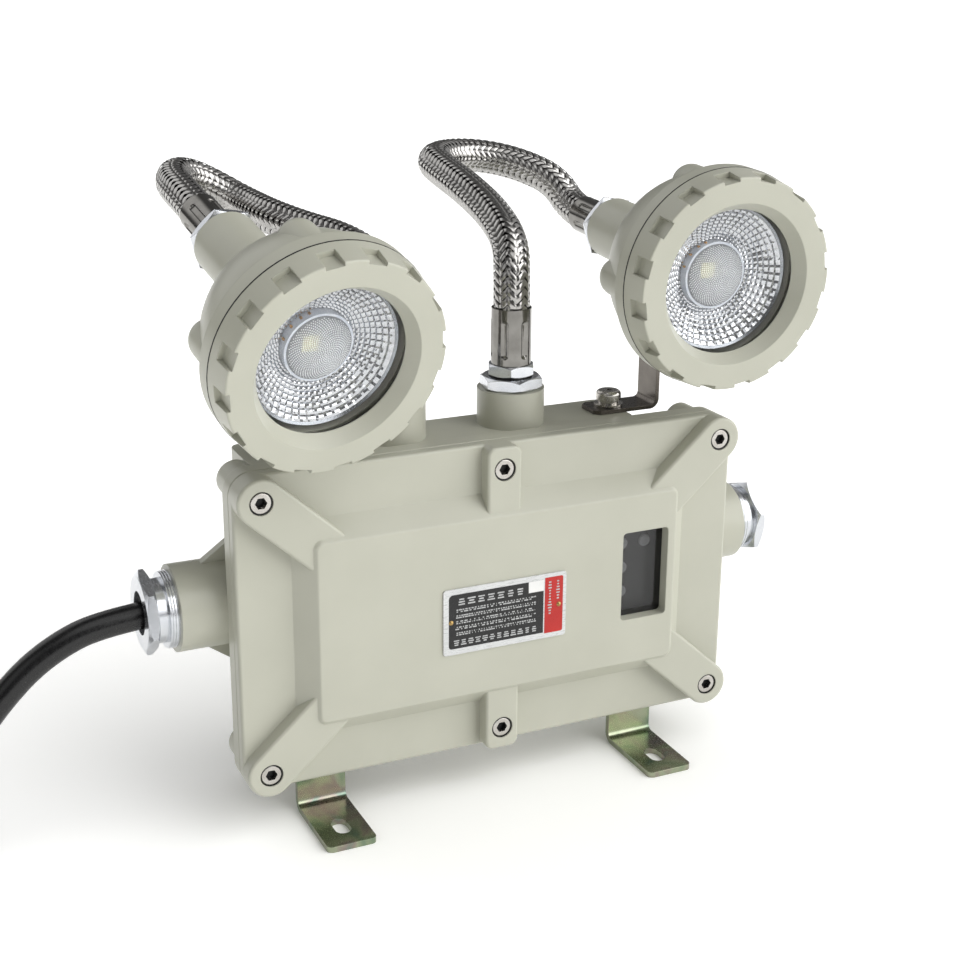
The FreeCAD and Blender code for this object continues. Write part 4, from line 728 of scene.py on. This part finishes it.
# %% Plate, rivets, inks and fields
plate_metal = finish("anodised_aluminium_plate", "#C6C7C7", "#CFD0D0", patch_mm=20, metallic=0.35,
                     roughness=0.3, grain_mm=0.3, grain_depth_mm=0.004, stretch=(0.05, 1, 1), edge_mm=0.2)
black_ink, red_ink, white_ink, grey_ink = [
    finish(colour_name + "_screen_ink", first, second, patch_mm=patch_mm, roughness=roughness,
           grain_mm=0.4, grain_depth_mm=0.004)
    for colour_name, first, second, patch_mm, roughness in (
        ("black", "#0D0D0E", "#121213", 10, 0.3), ("red", "#A81610", "#B51D15", 10, 0.33),
        ("white", "#DCDCDA", "#E6E6E4", 6, 0.4), ("grey", "#A5A6A6", "#B9BABA", 4, 0.4))]
rivet_brass = finish("brass_drive_rivet", "#A98C58", "#B99C68", patch_mm=2, metallic=1.0, roughness=0.3,
                     grain_mm=0.3, grain_depth_mm=0.004)
dress(plate_metal, "nameplate")
dress(rivet_brass, "nameplate_rivets")
ink_field("print_black_field", -0.0302, 0.0205, -0.0139, 0.0142, (0.0015, 0, 0, 0.0022), black_ink)
ink_field("print_white_square", 0.0123, 0.0205, 0.0085, 0.0142, (0, 0, 0, 0), white_ink, layer=2)
ink_field("print_red_strip", 0.0212, 0.0312, -0.0145, 0.0150, (0, 0.001, 0.001, 0), red_ink)
print("inks:", black_ink.name, red_ink.name, white_ink.name, grey_ink.name)

# %% Geometry Nodes tree for a row of plain bars
bars, given, result = new_tree("row_of_bars", {
    "Count": 7, "Start": (0, 0, 0), "Pitch": (0, 0, 0), "Narrow": 0.6, "Wide": 0.9, "Bar": (0, 0, 0),
    "Seed": 3, "Material": "NodeSocketMaterial"})
size = given.outputs
row = add(bars, "GeometryNodeMeshLine", {
    "Count": size["Count"], "Start Location": size["Start"], "Offset": size["Pitch"]})
brick = add(bars, "GeometryNodeMeshCube", {"Size": size["Bar"]})
width = add(bars, "FunctionNodeRandomValue", {2: size["Narrow"], 3: size["Wide"], "Seed": size["Seed"]},
            data_type="FLOAT").outputs[1]
shape = add(bars, "ShaderNodeCombineXYZ", (width, 1.0, 1.0))
instances = add(bars, "GeometryNodeInstanceOnPoints", {"Points": row, "Instance": brick, "Scale": shape})
finish_tree(bars, instances, size["Material"], result)
print("bar tree:", len(bars.nodes), "nodes")

# %% Rows on the plate: name, first bar's x and z, pitch, count, bar width and height, shares, seed
bar_rows = []
for k in range(10):
    pitch = (0.0016, 0.0023, 0.0013)[k % 3]
    z = 0.0062 - 0.0030 * (k // 2) - 0.0010 * (k % 2)
    bar_rows.append((f"line_{k}", -0.0258, z, pitch, int(0.0435 / pitch), pitch, 0.0006, 0.1, 1.0,
                     5 + 3 * k))
for k in range(3):
    bar_rows.append((f"title_{k}", -0.0235, 0.0115 - 0.0013 * k, 0.0052, 7, 0.0042, 0.0007, 0.55, 1.0,
                     30 + k))
for k in range(3):
    bar_rows.append((f"foot_{k}", -0.0262, -0.0098 - 0.0011 * k, 0.0038, 12, 0.0031, 0.0006, 0.5, 1.0,
                     40 + k))
print("rows:", [row[0] for row in bar_rows])

# %% Bars along the rows and down the red strip
# A bar is a second layer of ink, so its middle is one and a half layers in front of the plate
bar_middle = plate_front - 1.5 * ink
for label, x, z, pitch, count, width, height, narrow, wide, seed in bar_rows:
    bar = grown("print_" + label, bars, {
        "Count": count, "Start": (plate_x + x, bar_middle, plate_z + z), "Pitch": (pitch, 0, 0),
        "Narrow": narrow, "Wide": wide, "Bar": (width, ink, height), "Seed": seed, "Material": grey_ink})
    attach(bar, "root")
columns_of_bars = ((0.0240, 12), (0.0284, 7))
for k, (x, count) in enumerate(columns_of_bars):
    column = grown("print_column_" + str(k), bars, {
        "Count": count, "Start": (plate_x + x, bar_middle, plate_z + 0.0124), "Pitch": (0, 0, -0.0015),
        "Narrow": 0.3, "Wide": 1.0, "Bar": (0.0023, ink, 0.0007), "Seed": 17 + k, "Material": grey_ink})
    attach(column, "root")
print("rows of bars:", len(bar_rows) + len(columns_of_bars))

# %% [markdown]
# ## Cable ends
# The cable is bare at its far end, as such lights are wired on site: three insulated cores with a few
# millimetres of copper showing. Each core is a short curve of its own, fanned out a little.

# %% Stripped cores
core_colours = (("brown", "#4A2C1C"), ("blue", "#1E4F91"), ("green", "#4C7A35"))
copper = finish("bare_copper_strands", "#B8714A", "#C98558", patch_mm=2, metallic=1.0, roughness=0.3,
                grain_mm=0.3, grain_depth_mm=0.01)
core_pieces = []
for k, (colour_name, colour) in enumerate(core_colours):
    turn = math.radians(90 + 120 * k)
    dy, dz = 0.0026 * math.cos(turn), 0.0026 * math.sin(turn)
    starts = Vector((-0.3250, 0.1446 + dy, 0.0195 + dz))
    insulated = [starts, starts + Vector((0.010, dy * 0.4, dz * 0.3)),
                 starts + Vector((0.0215, dy, dz * 0.6))]
    core = smooth_line("core_" + colour_name, insulated, 0.0015)
    core.data.materials.append(finish("core_insulation_" + colour_name, colour, roughness=0.35))
    tip = insulated[2]
    strand = [tip + Vector((shift, 0, 0)) for shift in (-0.001, 0.002, 0.005)]
    bare = smooth_line("copper_" + colour_name, strand, 0.0008, round_steps=3)
    bare.data.materials.append(copper)
    core_pieces += [core, bare]
for piece in core_pieces:
    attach(piece, "root")
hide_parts("cable_cores")
print("cores:", len(core_pieces))

cable.data.materials.append(cable_rubber)
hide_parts("cable", "cable_coil")
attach(cable, "root")

# %% [markdown]
# ## Braided hoses
# A braided hose is a corrugated tube inside a sleeve of flat steel ribbons. Twelve ribbons run each way
# round it, and each goes over two and under two, which gives rows of small chevrons. A bump map would
# look flat at the edges, so the ribbons are modelled. They repeat and follow a path, so a Geometry Nodes
# tree makes them: one strip is set out twice twelve times, and each point of it is wound round the route.
# A number from 0 to 1 across each ribbon is kept with the mesh, so the finish can paint shade into the
# grooves between the five fine wires that lie side by side in it.

# %% Hose routes
hose_points = {
    "left": [
        (-0.0400, 0.0066, 0.2327), (-0.0400, 0.0066, 0.2517), (-0.0445, 0.0191, 0.2661),
        (-0.0510, 0.0411, 0.2711), (-0.0600, 0.0651, 0.2726), (-0.0705, 0.0881, 0.2761),
        (-0.0740, 0.1241, 0.2781), (-0.0895, 0.1336, 0.2876), (-0.1000, 0.1321, 0.2926),
        (-0.1090, 0.1246, 0.2946), (-0.1140, 0.1121, 0.2921), (-0.1144, 0.0874, 0.2891),
        (-0.1116, 0.0647, 0.2819),
    ],
    "right": [
        (0.0240, 0.0066, 0.2327), (0.0240, 0.0066, 0.2517), (0.0295, 0.0191, 0.2676),
        (0.0325, 0.0451, 0.2776), (0.0305, 0.0731, 0.2866), (0.0300, 0.1011, 0.2916),
        (0.0315, 0.1241, 0.2951), (0.0520, 0.1411, 0.2951), (0.0735, 0.1401, 0.2931),
        (0.0900, 0.1291, 0.2886), (0.1035, 0.1151, 0.2811), (0.1082, 0.1027, 0.2669),
        (0.1082, 0.0827, 0.2655),
    ],
}
hose_r = 0.0090
braid_step = 0.0007
route_steps = 32  # of the spline, between two of its points
print("control points:", {side: len(points) for side, points in hose_points.items()})

# %% Even steps along a route
def points_along(points, step):
    """Evenly spaced points on the smooth line, read from its spline."""
    bare = smooth_line("route", points, steps=route_steps)
    mesh = bpy.data.meshes.new_from_object(bare)
    line = np.array([v.co for v in mesh.vertices])
    bpy.data.meshes.remove(mesh)
    bpy.data.curves.remove(bare.data)
    along = np.concatenate([[0], np.cumsum(np.linalg.norm(np.diff(line, axis=0), axis=1))])
    at = np.linspace(0, along[-1], int(along[-1] / step) + 1)
    return np.stack([np.interp(at, along, line[:, k]) for k in range(3)], axis=1), at


routes = {side: points_along(hose_points[side], braid_step) for side in SIDES}
for side, (line, at) in routes.items():
    print("hose", side, "length", round(float(at[-1]), 4), "m")

# %% Twenty-four flat strips, and where each of their points belongs
braid, given, result = new_tree("braided_sleeve", {
    "Route": "NodeSocketObject", "From": 0.0, "To": 0.1, "Steps": 180, "Ribbons each way": 12,
    "Hose radius": hose_r, "Row pitch": 0.0039, "Ribbon width": 0.0026, "Rise": 0.00042, "Crown": 0.00013,
    "Ribbon material": "NodeSocketMaterial", "Tube material": "NodeSocketMaterial"})
size = given.outputs
across_points = 4
strip = add(braid, "GeometryNodeMeshGrid", {
    "Size X": 1.0, "Size Y": 1.0, "Vertices X": size["Steps"], "Vertices Y": across_points})
both_ways = add(braid, MATH, (size["Ribbons each way"], 2.0), "MULTIPLY")
seats = add(braid, "GeometryNodeMeshLine", {"Count": both_ways, "Offset": (0, 0, 0)})
strips = add(braid, "GeometryNodeInstanceOnPoints", {"Points": seats, "Instance": strip})
strips = add(braid, "GeometryNodeRealizeInstances", (strips,))
# All strips still lie on one unit square: X is along a ribbon and Y across it
spot = add(braid, "ShaderNodeSeparateXYZ", (add(braid, "GeometryNodeInputPosition"),)).outputs
along_share = add(braid, MATH, (spot["X"], 0.5), "ADD")
span = add(braid, MATH, (size["To"], size["From"]), "SUBTRACT")
at = add(braid, MATH, (along_share, span, size["From"]), "MULTIPLY_ADD")
per_strip = add(braid, MATH, (size["Steps"], float(across_points)), "MULTIPLY")
strip_share = add(braid, MATH, (add(braid, "GeometryNodeInputIndex"), per_strip), "DIVIDE")
number = add(braid, MATH, (strip_share,), "FLOOR")
# The first twelve wind one way (1) and the last twelve the other (-1)
ribbon_set = add(braid, MATH, (number, size["Ribbons each way"]), "DIVIDE")
ribbon_set = add(braid, MATH, (ribbon_set,), "FLOOR")
way = add(braid, MATH, (ribbon_set, -2.0, 1.0), "MULTIPLY_ADD")
print("braid tree so far:", len(braid.nodes), "nodes")

# %% How far round, how high and how far along
share_of_turn = add(braid, MATH, (2 * math.pi, size["Ribbons each way"]), "DIVIDE")
winding = add(braid, MATH, (share_of_turn, size["Row pitch"]), "DIVIDE")
signed_at = add(braid, MATH, (way, at), "MULTIPLY")
wound_by = add(braid, MATH, (signed_at, winding), "MULTIPLY")
turn = add(braid, MATH, (number, share_of_turn, wound_by), "MULTIPLY_ADD")
# Over two and under two: a clipped wave lifts and drops a ribbon once every sixth of a turn. It is the
# same wave for both sets, so where a ribbon of one set goes over, the other set's goes under.
half_count = add(braid, MATH, (size["Ribbons each way"], 0.5), "MULTIPLY")
wave = add(braid, MATH, (turn, half_count), "MULTIPLY")
wave = add(braid, MATH, (wave,), "COSINE")
wave = add(braid, MATH, (wave, 1.7), "MULTIPLY")
wave = add(braid, MATH, (wave, -1.0), "MAXIMUM")
wave = add(braid, MATH, (wave, 1.0), "MINIMUM")
lift = add(braid, MATH, (way, wave, -1.0), "MULTIPLY_ADD")
lift = add(braid, MATH, (lift, size["Rise"]), "MULTIPLY")
# A ribbon's middle stands a little higher than its edges: 1 in the middle and -1 at the edges
crown = add(braid, MATH, (spot["Y"], spot["Y"]), "MULTIPLY")
crown = add(braid, MATH, (crown, -8.0, 1.0), "MULTIPLY_ADD")
lift = add(braid, MATH, (crown, size["Crown"], lift), "MULTIPLY_ADD")
radius = add(braid, MATH, (size["Hose radius"], lift), "ADD")
# Across the ribbon is partly round the hose and partly along it, by the angle it winds at
round_per_row = add(braid, MATH, (share_of_turn, size["Hose radius"]), "MULTIPLY")
lead = add(braid, MATH, (round_per_row, size["Row pitch"]), "ARCTAN2")
wide = add(braid, MATH, (spot["Y"], size["Ribbon width"]), "MULTIPLY")
round_by = add(braid, MATH, (wide, add(braid, MATH, (lead,), "COSINE")), "MULTIPLY")
round_by = add(braid, MATH, (round_by, size["Hose radius"]), "DIVIDE")
angle = add(braid, MATH, (round_by, way, turn), "MULTIPLY_ADD")
along_by = add(braid, MATH, (wide, add(braid, MATH, (lead,), "SINE")), "MULTIPLY")
along_by = add(braid, MATH, (along_by, -1.0), "MULTIPLY")
print("braid tree so far:", len(braid.nodes), "nodes")

# %% The strips are wound round the route
route = add(braid, "GeometryNodeObjectInfo", {"Object": size["Route"]}).outputs["Geometry"]
sample = add(braid, "GeometryNodeSampleCurve", {"Curves": route, "Length": at}, mode="LENGTH").outputs
cosine = add(braid, MATH, (angle,), "COSINE")
sine = add(braid, MATH, (angle,), "SINE")
other_way = add(braid, VECTOR_MATH, (sample["Tangent"], sample["Normal"]), "CROSS_PRODUCT")
sideways = add(braid, VECTOR_MATH, {0: sample["Normal"], "Scale": cosine}, "SCALE")
upwards = add(braid, VECTOR_MATH, {0: other_way, "Scale": sine}, "SCALE")
outward = add(braid, VECTOR_MATH, (sideways, upwards), "ADD")
out_by = add(braid, VECTOR_MATH, {0: outward, "Scale": radius}, "SCALE")
shifted = add(braid, VECTOR_MATH, {0: sample["Tangent"], "Scale": along_by}, "SCALE")
target = add(braid, VECTOR_MATH, (sample["Position"], out_by), "ADD")
target = add(braid, VECTOR_MATH, (target, shifted), "ADD")
kept = strips
for label, value in (("across", add(braid, MATH, (spot["Y"], 0.5), "ADD")), ("way", way)):
    kept = add(braid, "GeometryNodeStoreNamedAttribute", {
        "Geometry": kept, "Name": label, "Value": value}, data_type="FLOAT", domain="POINT")
wound = add(braid, "GeometryNodeSetPosition", {"Geometry": kept, "Position": target})
# One set of twelve comes out facing inwards, so it is turned over
kept_way = add(braid, "GeometryNodeInputNamedAttribute", {"Name": "way"}, data_type="FLOAT")
inward = add(braid, MATH, (kept_way, 0.0), "GREATER_THAN")
ribbons = add(braid, "GeometryNodeFlipFaces", {"Mesh": wound, "Selection": inward})
print("braid tree so far:", len(braid.nodes), "nodes")

# %% The dark tube under them, and both materials
tube_r = add(braid, MATH, (size["Rise"], -3.2, size["Hose radius"]), "MULTIPLY_ADD")
# Sockets 4 and 5 are the start and the end as lengths
stretch = add(braid, "GeometryNodeTrimCurve", {0: route, 4: size["From"], 5: size["To"]}, mode="LENGTH")
ring = add(braid, "GeometryNodeCurvePrimitiveCircle", {"Resolution": 20, "Radius": tube_r}, mode="RADIUS")
tube = add(braid, "GeometryNodeCurveToMesh", {"Curve": stretch, "Profile Curve": ring})
joined = add(braid, "GeometryNodeJoinGeometry", (ribbons,))
braid.links.new(tube.outputs[0], joined.inputs[0])
smooth = add(braid, "GeometryNodeSetShadeSmooth", (joined,))
real = add(braid, "GeometryNodeRealizeInstances", (smooth,))
coated = add(braid, "GeometryNodeSetMaterial", {"Geometry": real, "Material": size["Ribbon material"]})
# The tube has no way of winding, so its number is 0
is_tube = add(braid, MATH, (kept_way,), "ABSOLUTE")
is_tube = add(braid, MATH, (is_tube, 0.5), "LESS_THAN")
coated = add(braid, "GeometryNodeSetMaterial", {
    "Geometry": coated, "Selection": is_tube, "Material": size["Tube material"]})
braid.links.new(coated.outputs[0], result.inputs[0])
print("braid tree:", len(braid.nodes), "nodes")

# %% [markdown]
# ## Hoses in two halves
# A hose starts on the roof and ends on a head that pans and tilts. It is made in two halves: the lower
# half between the roof and the bracket, the upper half between the bracket and the head. The halves share
# their middle point, so the sleeve stays in one piece.

# %% Finishes of the ribbons and of the tube under them
ribbon_steel = finish("braided_stainless_ribbon", "#BFBDBA", "#D2D0CD", patch_mm=3, metallic=1.0,
                      roughness=0.20, grain_mm=0.35, grain_depth_mm=0.01)
tree = ribbon_steel.node_tree
across_ribbon = add(tree, "ShaderNodeAttribute", attribute_name="across").outputs["Fac"]
wires_across = 5
wire_wave = add(tree, MATH, (across_ribbon, wires_across * 2 * math.pi), "MULTIPLY")
wire_wave = add(tree, MATH, (wire_wave,), "COSINE")
# Painted shade: the ribbon's colour darkens in the grooves between its wires
groove_painted_shade = add(tree, "ShaderNodeMapRange", {
    "Value": wire_wave, "From Min": 1.0, "From Max": -0.4, "To Min": 0.25, "To Max": 1.0})
shader = tree.nodes["Principled BSDF"]
steel_colour = shader.inputs["Base Color"].links[0].from_socket
shaded = add(tree, "ShaderNodeMix", {0: 1.0, 6: steel_colour, 7: groove_painted_shade}, data_type="RGBA",
             blend_type="MULTIPLY")
tree.links.new(shaded.outputs[2], shader.inputs["Base Color"])
# The tube's near-black colour is painted shade of the tube lying under the sleeve
hose_shadow = finish("corrugated_hose_in_shadow", "#0A0A0A", "#111111", patch_mm=4, metallic=0.3,
                     roughness=0.6)
print("wires across a ribbon:", wires_across)

route_curves = {side: smooth_line("route_" + side, hose_points[side], steps=route_steps)
                for side in SIDES}
for side, end in [(side, end) for side in SIDES for end in ("lower", "upper")]:
    whole, at = routes[side]
    middle = len(whole) // 2
    span = slice(0, middle + 1) if end == "lower" else slice(middle, len(whole))
    line = whole[span]
    piece = grown("hose_" + side + "_" + end, braid, {
        "Route": route_curves[side], "From": float(at[span][0]), "To": float(at[span][-1]),
        "Steps": len(line), "Ribbon material": ribbon_steel, "Tube material": hose_shadow})
    if end == "lower":
        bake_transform(piece)
        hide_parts("hose_" + side)
    else:
        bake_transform(piece)
for curve in route_curves.values():
    bpy.data.objects.remove(curve)

# %% [markdown]
# ## Floor and light
# The lamp stands on a plain white floor in soft studio light, brightest from the front and the right.
# The light is painted on the world by direction, so the floor is evenly lit however far it goes, and
# the darker parts of that world are what gives the metals their contrast.

# %% Floor
bpy.ops.mesh.primitive_plane_add(size=60.0, location=(0, 20, 0))
floor = bpy.context.object
floor.name = "studio_floor"
floor_paint = finish("matt_white_floor", "#F7F7F5", "#F8F8F6", patch_mm=400, roughness=0.9)
# A studio floor is lit from all round; close under the lamp an occlusion mask dims the floor's glow,
# which is a painted soft shadow
shadow_reach, shadow_strength, glow_in_the_open = 0.5, 2.2, 0.5
tree = floor_paint.node_tree
open_sky = add(tree, "ShaderNodeAmbientOcclusion", {"Distance": shadow_reach}, samples=8).outputs["AO"]
open_sky = add(tree, MATH, (open_sky, shadow_strength), "POWER")
floor_glow = add(tree, MATH, (open_sky, glow_in_the_open), "MULTIPLY")
tree.nodes["Principled BSDF"].inputs["Emission Color"].default_value = (1, 1, 1, 1)
tree.links.new(floor_glow.outputs[0], tree.nodes["Principled BSDF"].inputs["Emission Strength"])
floor.data.materials.append(floor_paint)
print("floor at z", floor.location.z)

# %% World light by direction
world = bpy.data.worlds.new("studio")
scene.world = world
world.use_nodes = True
tree = world.node_tree
direction = add(tree, "ShaderNodeTexCoord").outputs["Generated"]
# Each soft box: its direction, the cosines where it fades out and where it is full, and its strength
soft_boxes = (
    ((0.68, -0.60, 0.42), 0.76, 0.90, 3.00),
    ((0.00, -0.45, 0.90), 0.86, 0.96, 1.10),
    ((0.85, 0.30, 0.40), 0.80, 0.93, 0.35),
    ((-0.35, 0.75, 0.55), 0.86, 0.94, 0.90),
    ((-0.85, -0.30, 0.55), 0.92, 0.97, 0.50),
)
total = 0.13  # the light that comes from everywhere
for towards, dim, full, power in soft_boxes:
    facing = add(tree, VECTOR_MATH, (direction, Vector(towards).normalized()),
                 "DOT_PRODUCT").outputs["Value"]
    glow = add(tree, "ShaderNodeMapRange", {
        "Value": facing, "From Min": dim, "From Max": full, "To Min": 0.0, "To Max": power},
        interpolation_type="SMOOTHSTEP")
    total = add(tree, MATH, (total, glow), "ADD")
sky = add(tree, "ShaderNodeCombineColor", (total, total, total))
tree.links.new(sky.outputs[0], tree.nodes["Background"].inputs["Color"])
scene.view_settings.view_transform = "Standard"
print("soft boxes:", len(soft_boxes))
